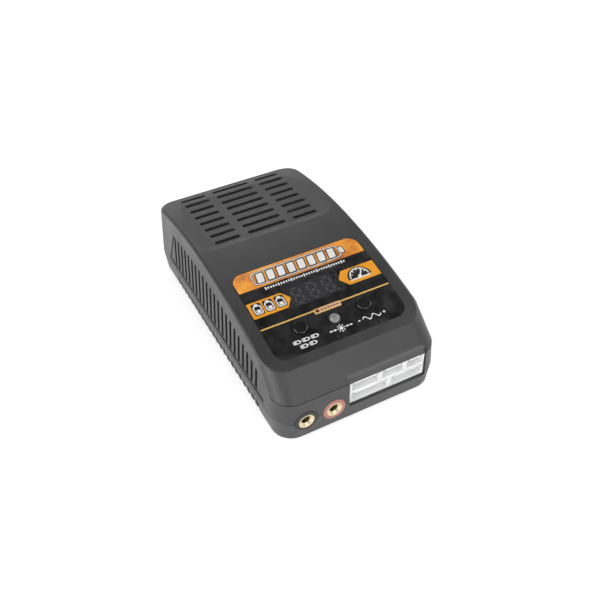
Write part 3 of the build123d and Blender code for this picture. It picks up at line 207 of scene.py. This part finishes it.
# ---------------------------------------------------------------- power parts on the main board
# Mains fuse, choke, film capacitor, rectifier, reservoir capacitor, transformer, switching
# transistors on aluminium sinks, output inductor and capacitors, soldered to the main board.
# Each finish has its colour, roughness, metal and the pieces that it covers.
power_finishes = {
    "enamelled copper": ((0.55, 0.22, 0.09), 0.35, 0.8, ("output_inductor", "mains_choke", "fan_stator")),
    "winding tape": ((0.72, 0.5, 0.06), 0.3, 0.0, ("transformer_winding",)),
    "ferrite": ((0.06, 0.06, 0.065), 0.55, 0.0, ("transformer_core",)),
    "capacitor sleeve": ((0.02, 0.02, 0.06), 0.25, 0.0, ("mains_capacitor", "output_capacitors")),
    "film capacitor case": ((0.68, 0.42, 0.05), 0.4, 0.0, ("suppression_capacitor",)),
    "drawn aluminium": ((0.72, 0.73, 0.74), 0.35, 1.0, ("primary_heat_sink", "secondary_heat_sink")),
    "moulding resin": (
        (0.02, 0.02, 0.021),
        0.5,
        0.0,
        ("power_semiconductors", "bridge_rectifier", "controller_chip", "balance_resistors"),
    ),
    "fuse ceramic": ((0.75, 0.73, 0.68), 0.4, 0.0, ("mains_fuse",)),
    "cable sheath": ((0.3, 0.3, 0.31), 0.5, 0.0, ("ribbon_cable", "fan_lead")),
}
for name, (colour, roughness, metallic, members) in power_finishes.items():
    finish = moulded_finish(name, colour, roughness, metallic, Patches_per_metre=300.0)
    for member in members:
        finish_node(member, finish)

# ---------------------------------------------------------------- mains inlet
# Black nylon inlet for a figure-8 plug, held in an opening of the rear wall, with two tinned
# pins. The pins of the balance headers are of the same tinned brass.
inlet_finish = moulded_finish("inlet nylon", (0.025, 0.025, 0.026), roughness=0.38, Grains_per_metre=3500.0)
finish_node("mains_inlet", inlet_finish)
pin_finish = moulded_finish(
    "tinned pin",
    (0.74, 0.72, 0.68),
    roughness=0.25,
    metallic=1.0,
    Patches_per_metre=900.0,
    Grain_height=0.000004,
)
for pins in ("mains_inlet_pins", "balance_header_pins"):
    finish_node(pins, pin_finish)

# ---------------------------------------------------------------- cooling fan
# A 40 mm fan screwed under the dish with the slots. Its frame and rotor are moulded in
# glass-filled black plastic, and the rotor turns on a shaft in the frame's bearing.
fan_finish = moulded_finish("fan plastic", (0.022, 0.022, 0.024), roughness=0.45, Colour_spread=0.15)
for member in ("fan_frame", "fan_rotor"):
    finish_node(member, fan_finish)

# ---------------------------------------------------------------- balance headers
# Five keyed headers, moulded in natural white nylon that lets a little light through. They
# stand in two rows on their own upright board, to which their pins are soldered.
header_finish = moulded_finish(
    "white nylon",
    (0.95, 0.95, 0.94),
    roughness=0.42,
    Colour_spread=0.03,
    Patches_per_metre=250.0,
    Grains_per_metre=3000.0,
    Grain_height=0.00001,
)
nylon = shader_inputs(header_finish)
nylon["Subsurface Weight"].default_value = 0.85
nylon["Subsurface Radius"].default_value = (1.0, 0.96, 0.9)
nylon["Subsurface Scale"].default_value = 0.002
for pin_count in (3, 4, 5, 6, 7):
    finish_node(f"balance_header_{pin_count}_pin", header_finish)

# ---------------------------------------------------------------- sockets
# Two 4 mm sockets in the seam of the case: turned, gold-plated tubes in plastic collars, a
# black one for the negative lead and a red one for the positive lead.
gold_finish = moulded_finish(
    "gold plate",
    (0.7, 0.61, 0.4),
    roughness=0.34,
    metallic=1.0,
    Colour_spread=0.06,
    Patches_per_metre=700.0,
    Roughness_spread=0.05,
    Grain_height=0.000003,
)
for contact in ("negative_contact", "positive_contact"):
    finish_node(contact, gold_finish)
for sleeve, name, colour in (
    ("negative_socket_sleeve", "black collar", (0.016, 0.016, 0.014)),
    ("positive_socket_sleeve", "red collar", (0.37, 0.155, 0.13)),
):
    collar_finish = moulded_finish(name, colour, roughness=0.55, Colour_spread=0.08, Grain_height=0.00001)
    finish_node(sleeve, collar_finish)

# ---------------------------------------------------------------- display and control board pieces
# Tactile switches and the three-digit display on the control board. The bars of the digits
# are diffusing resin, a dull grey while they are off.
switch_finish = moulded_finish("switch moulding", (0.03, 0.03, 0.03), roughness=0.45)
for member in ("battery_type_switch", "current_switch", "battery_type_plunger", "current_plunger"):
    finish_node(member, switch_finish)
face_finish = moulded_finish("display face", (0.05, 0.05, 0.052), roughness=0.5)
finish_node("display_module", face_finish)
bars_finish = moulded_finish("unlit bars", (0.2, 0.2, 0.21), roughness=0.5, Colour_spread=0.05)
finish_node("display_segments", bars_finish)

# ---------------------------------------------------------------- upper shell
# The domed top half of the case, with the slots for the fan's air. It is moulded in the same
# grained black ABS as the tray and screwed to it from below.
finish_node("upper_shell", case_finish)

# ---------------------------------------------------------------- printed overlay
# A glossy polycarbonate sheet glued in a shallow seat of the dome. It is printed in black, with
# an orange band and two orange tags, and a smoked pane fills its window over the display.
overlay_finish = moulded_finish(
    "black printed sheet",
    (0.014, 0.014, 0.0145),
    roughness=0.26,
    Colour_spread=0.6,
    Patches_per_metre=160.0,
    Grains_per_metre=900.0,
    Grain_height=0.000006,
)
finish_node("label_overlay", overlay_finish)

window_finish = moulded_finish(
    "smoked pane",
    (0.5, 0.5, 0.52),
    roughness=0.08,
    Colour_spread=0.03,
    Roughness_spread=0.02,
    Grain_height=0.000002,
)
acrylic_refraction = 1.49
shader_inputs(window_finish)["Transmission Weight"].default_value = 1.0
shader_inputs(window_finish)["IOR"].default_value = acrylic_refraction
finish_node("display_window", window_finish)

# Prints lie on the dome of the sheet: an arc along the case, level across it. A setback is a
# distance behind the front wall of the case.
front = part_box("lower_shell")[0][1]
crown_setback = 0.085
crown_y = front + crown_setback
crown_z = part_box("upper_shell")[1][2]
dome_radius = 0.258
layer_height = 0.00004
ink_depth = 0.0001
weld_distance = 1e-7


def on_dome(x, setback, lift):
    """Points on the dome: z = crown - R + sqrt(R^2 - (y - crown y)^2) + lift."""
    y = front + setback
    z = crown_z - dome_radius + np.sqrt(dome_radius**2 - (y - crown_y) ** 2) + lift
    return np.stack([x, y, z], axis=-1)


def closed_sheet(rows, columns):
    """Faces of a sheet with a thickness over a grid of points: the upper face, the lower face turned
    over, and a wall along the rim. The points of the lower face follow those of the upper one."""
    index = np.arange(rows * columns).reshape(rows, columns)
    upper = np.stack([index[:-1, :-1], index[:-1, 1:], index[1:, 1:], index[1:, :-1]], -1).reshape(-1, 4)
    rim = np.concatenate([index[0, :-1], index[:-1, -1], index[-1, :0:-1], index[:0:-1, 0]])
    ahead = np.roll(rim, -1)
    walls = np.stack([ahead, rim, rim + index.size, ahead + index.size], -1)
    return np.concatenate([upper, upper[:, ::-1] + index.size, walls])


def printed(name, fields, finish, layer=1):
    """A print of several fields. Each field is a grid of points (x, setback), laid on the dome as a
    closed sheet: its upper face is just above the layer below and its lower face is in the overlay."""
    points, faces, start = [], [], 0
    for x, setback in fields:
        points += [on_dome(x, setback, layer_height * layer), on_dome(x, setback, -ink_depth)]
        faces += (closed_sheet(*x.shape) + start).tolist()
        start += 2 * x.size
    mesh = bpy.data.meshes.new(name)
    mesh.from_pydata(np.concatenate([grid.reshape(-1, 3) for grid in points]).tolist(), [], faces)
    mesh.validate()
    mesh.materials.append(finish)
    piece = bpy.data.objects.new(name, mesh)
    bpy.context.scene.collection.objects.link(piece)
    shell = bmesh.new()
    shell.from_mesh(mesh)
    bmesh.ops.remove_doubles(shell, verts=shell.verts, dist=weld_distance)
    bmesh.ops.recalc_face_normals(shell, faces=shell.faces)
    shell.to_mesh(mesh)
    shell.free()
    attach(piece, "case")


def field(left, right, setbacks, columns):
    """Grid between two side lines: x runs from left(setback) to right(setback) in equal steps."""
    across = np.linspace(0.0, 1.0, columns)[None, :]
    along = np.repeat(setbacks[:, None], columns, axis=1)
    left_x, right_x = np.broadcast_to(left, setbacks.shape), np.broadcast_to(right, setbacks.shape)
    return left_x[:, None] * (1 - across) + right_x[:, None] * across, along


def bar(centre_x, centre, width, length, corner=0.0, lean=0.0):
    """Rounded bar: at a distance d beyond the start of the corners, its half width is
    half - r + sqrt(r^2 - d^2). Lean shifts it sideways in proportion to the setback."""
    ends = length / 2 - corner * (1 - np.cos(np.linspace(0.0, math.pi / 2, 6)))
    steps = np.concatenate([-ends, ends[::-1]]) if corner else np.linspace(-length / 2, length / 2, 3)
    beyond = np.maximum(np.abs(steps) - (length / 2 - corner), 0.0)
    half = width / 2 - corner + np.sqrt(np.maximum(corner**2 - beyond**2, 0.0))
    middle = centre_x + lean * steps
    return field(middle - half, middle + half, centre + steps, 8)


def outline(centre_x, centre, width, length, line, corner):
    """Closed line along a rounded rectangle, between an outer and an inner superellipse, where
    x = cos^(2 / order) and y = sin^(2 / order). The order rises as the corner gets smaller."""
    turn = np.linspace(0.0, 2 * math.pi, 49)[:, None]
    inset = np.array([0.0, line])[None, :]
    order = max(2.0, 1.1 * min(width, length) / corner)
    across = np.sign(np.cos(turn)) * np.abs(np.cos(turn)) ** (2 / order)
    along = np.sign(np.sin(turn)) * np.abs(np.sin(turn)) ** (2 / order)
    return centre_x + across * (width / 2 - inset), centre + along * (length / 2 - inset)


def ring(centre_x, centre, radius, line, sweep=2 * math.pi, steps=33):
    """Arc of a circle as a flat line: radius runs across the line and the angle along it."""
    turn = np.linspace(0.0, sweep, steps)[:, None]
    reach = np.array([radius - line, radius])[None, :]
    return centre_x + np.cos(turn) * reach, centre + np.sin(turn) * reach


def slanted(centre_x, centre, width, length, angle):
    """Straight bar turned by an angle about its middle."""
    side, end = width / 2, length / 2
    across, along = np.meshgrid(np.linspace(-side, side, 3), np.linspace(-end, end, 5))
    cosine, sine = math.cos(angle), math.sin(angle)
    return centre_x + across * cosine - along * sine, centre + across * sine + along * cosine


def spokes(centre_x, centre, radius, width, length, turns):
    """Short bars that point away from a centre: one at each angle, with its middle at the radius."""
    return [
        slanted(
            centre_x + radius * math.cos(turn),
            centre + radius * math.sin(turn),
            width,
            length,
            turn - math.pi / 2,
        )
        for turn in turns
    ]


def ink(name, colour):
    """Ink printed on the sheet, with a clear gloss coat over it."""
    finish = moulded_finish(
        name, colour, roughness=0.35, Colour_spread=0.05, Grains_per_metre=900.0, Grain_height=0.000006
    )
    shader_inputs(finish)["Coat Weight"].default_value = 0.3
    shader_inputs(finish)["Coat Roughness"].default_value = 0.2
    return finish


def worn_ink(name, middle, dark, light):
    """Ink with a worn look: one noise runs from a dark through a middle to a light tone in
    blotches, and a finer one darkens it in speckles."""
    finish = ink(name, middle)
    new, link = finish.node_tree.nodes.new, finish.node_tree.links.new
    place = new("ShaderNodeTexCoord")
    blotches, speckles = new("ShaderNodeTexNoise"), new("ShaderNodeTexNoise")
    for noise, per_metre, detail in ((blotches, 95.0, 6.0), (speckles, 900.0, 3.0)):
        noise.inputs["Scale"].default_value = per_metre
        noise.inputs["Detail"].default_value = detail
        link(place.outputs["Object"], noise.inputs["Vector"])
    tones = new("ShaderNodeValToRGB")
    tones.color_ramp.elements[0].position = 0.34
    tones.color_ramp.elements[0].color = (*dark, 1.0)
    tones.color_ramp.elements[1].position = 0.66
    tones.color_ramp.elements[1].color = (*light, 1.0)
    tones.color_ramp.elements.new(0.46).color = (*middle, 1.0)
    link(blotches.outputs["Fac"], tones.inputs["Fac"])
    worn = new("ShaderNodeMapRange")
    worn.inputs["From Min"].default_value = 0.33
    worn.inputs["From Max"].default_value = 0.42
    worn.inputs["To Min"].default_value = 0.72
    link(speckles.outputs["Fac"], worn.inputs["Value"])
    shade = new("ShaderNodeVectorMath")
    shade.operation = "SCALE"
    link(tones.outputs["Color"], shade.inputs[0])
    link(worn.outputs["Result"], shade.inputs["Scale"])
    tint_from(finish, shade.outputs[0])
    return finish


orange_ink = worn_ink(
    "orange print", middle=(0.68, 0.24, 0.025), dark=(0.34, 0.1, 0.035), light=(0.82, 0.36, 0.05)
)
amber_ink = ink("amber ink", (0.72, 0.29, 0.016))
white_ink = ink("white ink", (0.7, 0.7, 0.69))
gold_ink = ink("gold ink", (0.62, 0.38, 0.1))
black_ink = ink("black ink", (0.01, 0.01, 0.011))
copper_ink = ink("copper ink", (0.6, 0.38, 0.24))
maroon_ink = ink("maroon ink", (0.1, 0.018, 0.012))

# The band across the rear of the sheet follows its rounded rear corners.
print_half_width = 0.0314
band_front, band_rear, band_corner = 0.0535, 0.0640, 0.0052
corner_start = band_rear - band_corner
band_setbacks = np.concatenate(
    [
        np.linspace(band_front, corner_start, 8)[:-1],
        corner_start + band_corner * np.sin(np.linspace(0.0, math.pi / 2, 10)),
    ]
)
beyond_corner = np.maximum(band_setbacks - corner_start, 0.0)
band_half = print_half_width - band_corner + np.sqrt(np.maximum(band_corner**2 - beyond_corner**2, 0.0))
printed("orange_band", [field(-band_half, band_half, band_setbacks, 24)], orange_ink)

# Tags at both sides below the band, cut to a blunt point towards the middle.
tag_front, tag_middle, tag_rear = 0.0385, 0.0429, 0.0470
tag_setbacks = np.linspace(tag_front, tag_rear, 9)
tag_tip = np.interp(tag_setbacks, [tag_front, tag_middle, tag_rear], [0.0152, 0.01185, 0.0150])
printed(
    "orange_tags",
    [
        field(-print_half_width, -tag_tip, tag_setbacks, 10),
        field(tag_tip, print_half_width, tag_setbacks, 10),
    ],
    amber_ink,
)

# Level gauge on the band: a lying battery with eight leaning charge bars, white on a black edge.
gauge_x, gauge_y = -0.0010, (band_front + band_rear) / 2 - 0.0003
gauge_nub_x = 0.0220
first_bar_x, bar_pitch, bar_lean = -0.0190, 0.0051, 0.18


def gauge(bar_size, case_size, nub_size):
    """Leaning bars in a row, the closed line of the battery's case around them, and its nub. Each
    size is a width, a length, for the case the width of its line, and a corner radius."""
    charge = [bar(first_bar_x + bar_pitch * i, gauge_y, *bar_size, bar_lean) for i in range(8)]
    return charge + [outline(gauge_x, gauge_y, *case_size), bar(gauge_nub_x, gauge_y, *nub_size)]


printed(
    "band_gauge_edge",
    gauge((0.0043, 0.0066, 0.0010), (0.0440, 0.0084, 0.0009, 0.0012), (0.0026, 0.0044, 0.0008)),
    black_ink,
    layer=2,
)
printed(
    "band_gauge_bars",
    gauge((0.0032, 0.0055, 0.0006), (0.0436, 0.0080, 0.0004, 0.0012), (0.0018, 0.0036, 0.0006)),
    white_ink,
    layer=3,
)

# Fine ruler below the band, with every fifth tick longer, and a gold line above the buttons.
ruler_y, first_tick_x, tick_pitch, tick_width = 0.0518, -0.0195, 0.00126, 0.0007
short_tick, long_tick = 0.0011, 0.0016
ruler = [
    bar(first_tick_x + tick_pitch * i, ruler_y, tick_width, short_tick if i % 5 else long_tick)
    for i in range(32)
]
printed("scale_ticks", ruler, white_ink)
gold_line_y, gold_line_width = 0.0325, 0.0007
gold_line_setbacks = gold_line_y + gold_line_width * np.array([-0.5, 0.0, 0.5])
printed("gold_line", [field(-print_half_width, print_half_width, gold_line_setbacks, 24)], gold_ink)

# Pictograms on the tags, white on black grounds. Left: three cells, each with a cap and a charge.
first_cell_x, cell_pitch = -0.0277, 0.0054
cell_places = [first_cell_x + cell_pitch * i for i in range(3)]
cell_grounds = [bar(cell_x, tag_middle, 0.0046, 0.0064, corner=0.0010) for cell_x in cell_places]
cell_marks = []
for cell_x in cell_places:
    cell_marks += [
        outline(cell_x, tag_middle - 0.0004, width=0.0038, length=0.0048, line=0.0005, corner=0.0009),
        bar(cell_x, tag_middle + 0.0024, width=0.0016, length=0.0008),
        bar(cell_x, tag_middle - 0.0012, width=0.0018, length=0.0016),
    ]

# Right: a half-round dial on a foot line, with a needle on its hub and five ticks.
dial_x, dial_y = 0.0218, tag_middle - 0.0018
dial_ground = ring(dial_x, dial_y - 0.0004, radius=0.0058, line=0.0056, sweep=math.pi, steps=25)
dial_ticks = [math.pi * (i + 1) / 6 for i in range(5)]
dial_marks = [
    ring(dial_x, dial_y, radius=0.0048, line=0.0006, sweep=math.pi, steps=25),
    slanted(dial_x + 0.0012, dial_y + 0.0016, width=0.0006, length=0.0038, angle=-0.6),
    ring(dial_x, dial_y, radius=0.0009, line=0.0008),
    bar(dial_x, dial_y - 0.0008, width=0.0102, length=0.0006),
    *spokes(dial_x, dial_y, radius=0.0037, width=0.0004, length=0.0009, turns=dial_ticks),
]
printed("tag_grounds", cell_grounds + [dial_ground], black_ink, layer=2)
printed("tag_marks", cell_marks + dial_marks, white_ink, layer=3)

# Marks below the left button: five small cells in two rows.
small_cells_x, small_cell_pitch = -0.0161, 0.0042
button_marks = []
for row_y, row_count in ((0.0215, 3), (0.0189, 2)):
    for i in range(row_count):
        mark_x = small_cells_x + (i - (row_count - 1) / 2) * small_cell_pitch
        button_marks += [
            outline(mark_x, row_y, width=0.0032, length=0.0017, line=0.00035, corner=0.0004),
            bar(mark_x + 0.0018, row_y, width=0.0004, length=0.0008),
            bar(mark_x - 0.0005, row_y, width=0.0009, length=0.0007),
        ]

# Below the lamp: a lamp with eight rays, and two dashes at each side of it.
marks_y, lamp_mark_x, wave_x = 0.0205, 0.0004, 0.0155
lamp_rays = [i * math.pi / 4 for i in range(8)]
button_marks.append(ring(lamp_mark_x, marks_y, radius=0.0008, line=0.0007))
button_marks += spokes(lamp_mark_x, marks_y, radius=0.0015, width=0.0004, length=0.0008, turns=lamp_rays)
for dash_x in (-0.0030, -0.0048, 0.0030, 0.0048):
    button_marks.append(bar(lamp_mark_x + dash_x, marks_y, width=0.0013, length=0.0006))

# Below the right button: a line along two waves of a sine, between a minus and a plus.
wave_reach, wave_height, wave_line, sign_distance = 0.0045, 0.0009, 0.00056, 0.0062
wave_along = np.linspace(-1.0, 1.0, 41)[:, None]
wave_across = wave_line * np.array([-0.5, 0.5])[None, :]
button_marks.append(
    (
        np.repeat(wave_x + wave_reach * wave_along, 2, axis=1),
        marks_y + wave_height * np.sin(2 * math.pi * wave_along) + wave_across,
    )
)
for side in (-1, 1):
    button_marks.append(bar(wave_x + side * sign_distance, marks_y, width=0.0011, length=0.0005))
button_marks.append(bar(wave_x + sign_distance, marks_y, width=0.0005, length=0.0011))
printed("button_marks", button_marks, white_ink)

# Small gold-edged plate below the display, with a square and a row of dashes.
plate_y, first_dash_x, dash_pitch = 0.0318, -0.0026, 0.0015
plate_edge = bar(0.0, plate_y, width=0.0130, length=0.0026, corner=0.0005)
plate_face = bar(0.0, plate_y, width=0.0123, length=0.0019, corner=0.0003)
plate_square = bar(-0.0049, plate_y, width=0.0016, length=0.0014, corner=0.0002)
plate_dashes = [bar(first_dash_x + dash_pitch * i, plate_y, width=0.0009, length=0.0006) for i in range(6)]
printed("gold_plate_edge", [plate_edge], gold_ink, layer=2)
printed("gold_plate_face", [plate_face], copper_ink, layer=3)
printed("gold_plate_marks", [plate_square, *plate_dashes], maroon_ink, layer=4)

# ---------------------------------------------------------------- buttons and lamp
# Two glossy black push buttons, which stand on their switches in holes of the overlay, and the
# round status lamp between them, moulded in frosted resin.
button_finish = moulded_finish("black button", (0.009, 0.009, 0.0095), roughness=0.24, Grain_height=0.00001)
for button in ("battery_type_button", "current_button"):
    finish_node(button, button_finish)
lamp_finish = moulded_finish(
    "frosted lamp", (0.2, 0.2, 0.2), roughness=0.2, Colour_spread=0.1, Grain_height=0.00001
)
shader_inputs(lamp_finish)["Subsurface Weight"].default_value = 0.3
shader_inputs(lamp_finish)["Subsurface Radius"].default_value = (0.002, 0.002, 0.002)
finish_node("status_led", lamp_finish)

# ---------------------------------------------------------------- floor, light and camera
# A pale matt floor takes the object's soft shadow, and its glow makes it white to the camera and
# in gloss. The glow rises to full white towards the far edge, where the lamps fade.
def combined(tree, operation, first, second):
    """Two values combined by an operation of a Math node."""
    result = tree.nodes.new("ShaderNodeMath")
    result.operation = operation
    tree.links.new(first, result.inputs[0])
    tree.links.new(second, result.inputs[1])
    return result.outputs[0]


def seen_by(tree, ray_names):
    """1 for these kinds of rays and 0 for all others."""
    path = tree.nodes.new("ShaderNodeLightPath")
    seen = path.outputs[ray_names[0]]
    for name in ray_names[1:]:
        seen = combined(tree, "MAXIMUM", seen, path.outputs[name])
    return seen


def graded(tree, value, start, end, low, high):
    """A value graded from low at its start to high at its end, and level beyond them."""
    grade = tree.nodes.new("ShaderNodeMapRange")
    for socket, number in (("From Min", start), ("From Max", end), ("To Min", low), ("To Max", high)):
        grade.inputs[socket].default_value = number
    tree.links.new(value, grade.inputs["Value"])
    return grade.outputs["Result"]


floor_half = 1.2
floor_corners = floor_half * np.array([(-1, -1, 0), (1, -1, 0), (1, 1, 0), (-1, 1, 0)])
floor_mesh = bpy.data.meshes.new("floor")
floor_mesh.from_pydata(floor_corners.tolist(), [], [(0, 1, 2, 3)])
floor_piece = bpy.data.objects.new("floor", floor_mesh)
bpy.context.scene.collection.objects.link(floor_piece)
floor_finish = bpy.data.materials.new("white floor")
floor_finish.use_nodes = True
floor_inputs = shader_inputs(floor_finish)
floor_inputs["Base Color"].default_value = (0.86, 0.86, 0.86, 1.0)
floor_inputs["Roughness"].default_value = 1.0
floor_inputs["Specular IOR Level"].default_value = 0.0
floor_inputs["Emission Color"].default_value = (1.0, 1.0, 1.0, 1.0)
floor_tree = floor_finish.node_tree
floor_place = floor_tree.nodes.new("ShaderNodeTexCoord")
floor_reach = floor_tree.nodes.new("ShaderNodeVectorMath")
floor_reach.operation = "LENGTH"
floor_tree.links.new(floor_place.outputs["Object"], floor_reach.inputs[0])
floor_glow = graded(floor_tree, floor_reach.outputs["Value"], start=0.45, end=1.0, low=0.42, high=1.0)
floor_rays = seen_by(floor_tree, ["Is Camera Ray", "Is Glossy Ray", "Is Transmission Ray"])
floor_strength = combined(floor_tree, "MULTIPLY", floor_rays, floor_glow)
floor_tree.links.new(floor_strength, floor_inputs["Emission Strength"])
floor_mesh.materials.append(floor_finish)

# A room that is lit at the horizon and dim overhead. The camera sees it white.
horizon_light, ceiling_light, ceiling_start = 1.3, 0.06, 0.35
world = bpy.data.worlds.new("white room")
bpy.context.scene.world = world
world.use_nodes = True
room = world.node_tree
sky = room.nodes["Background"]
sky.inputs["Color"].default_value = (1.0, 1.0, 1.0, 1.0)
heading, split = room.nodes.new("ShaderNodeTexCoord"), room.nodes.new("ShaderNodeSeparateXYZ")
room.links.new(heading.outputs["Generated"], split.inputs["Vector"])
room_light = graded(room, split.outputs["Z"], 0.0, ceiling_start, horizon_light, ceiling_light)
room_rays = seen_by(room, ["Is Camera Ray", "Is Transmission Ray"])
room.links.new(combined(room, "MAXIMUM", room_rays, room_light), sky.inputs["Strength"])

# Large soft lamps stand round the object, and all turn to its middle.
lamp_target = Vector((0.0, 0.0, 0.02))


def softbox(name, place, width, height, watts):
    """Rectangular lamp at a place, turned to the middle of the object."""
    data = bpy.data.lights.new(name, "AREA")
    data.shape = "RECTANGLE"
    data.size, data.size_y, data.energy = width, height, watts
    lamp = bpy.data.objects.new(name, data)
    lamp.location = place
    lamp.rotation_euler = (lamp_target - Vector(place)).to_track_quat("-Z", "Y").to_euler()
    bpy.context.scene.collection.objects.link(lamp)


softbox("front softbox", (0.1, -0.8, 0.85), 0.8, 0.6, 4.6)
softbox("low softbox", (0.36, -0.95, 0.16), 0.5, 0.22, 2.7)
softbox("left softbox", (-0.95, -0.1, 0.5), 1.0, 0.8, 12.5)
softbox("right softbox", (0.9, 0.0, 0.6), 0.6, 0.6, 5.0)
softbox("rear softbox", (0.25, 1.1, 0.85), 0.8, 0.6, 3.0)

# The camera looks down on the front from the left, and leans a little.
camera_place = (-0.12497, -0.25490, 0.27494)
turn, height, roll = math.radians(-27.361), math.radians(43.043), math.radians(-0.708)
camera_data = bpy.data.cameras.new("camera")
camera_data.lens = 48.135
camera_data.sensor_width = 36.0
camera_data.clip_start = 0.01
camera = bpy.data.objects.new("camera", camera_data)
camera.matrix_world = (
    Matrix.Translation(camera_place)
    @ Matrix.Rotation(turn, 4, "Z")
    @ Matrix.Rotation(math.pi / 2 - height, 4, "X")
    @ Matrix.Rotation(roll, 4, "Z")
)
bpy.context.scene.collection.objects.link(camera)
bpy.context.scene.camera = camera
bpy.context.scene.view_settings.view_transform = "Standard"
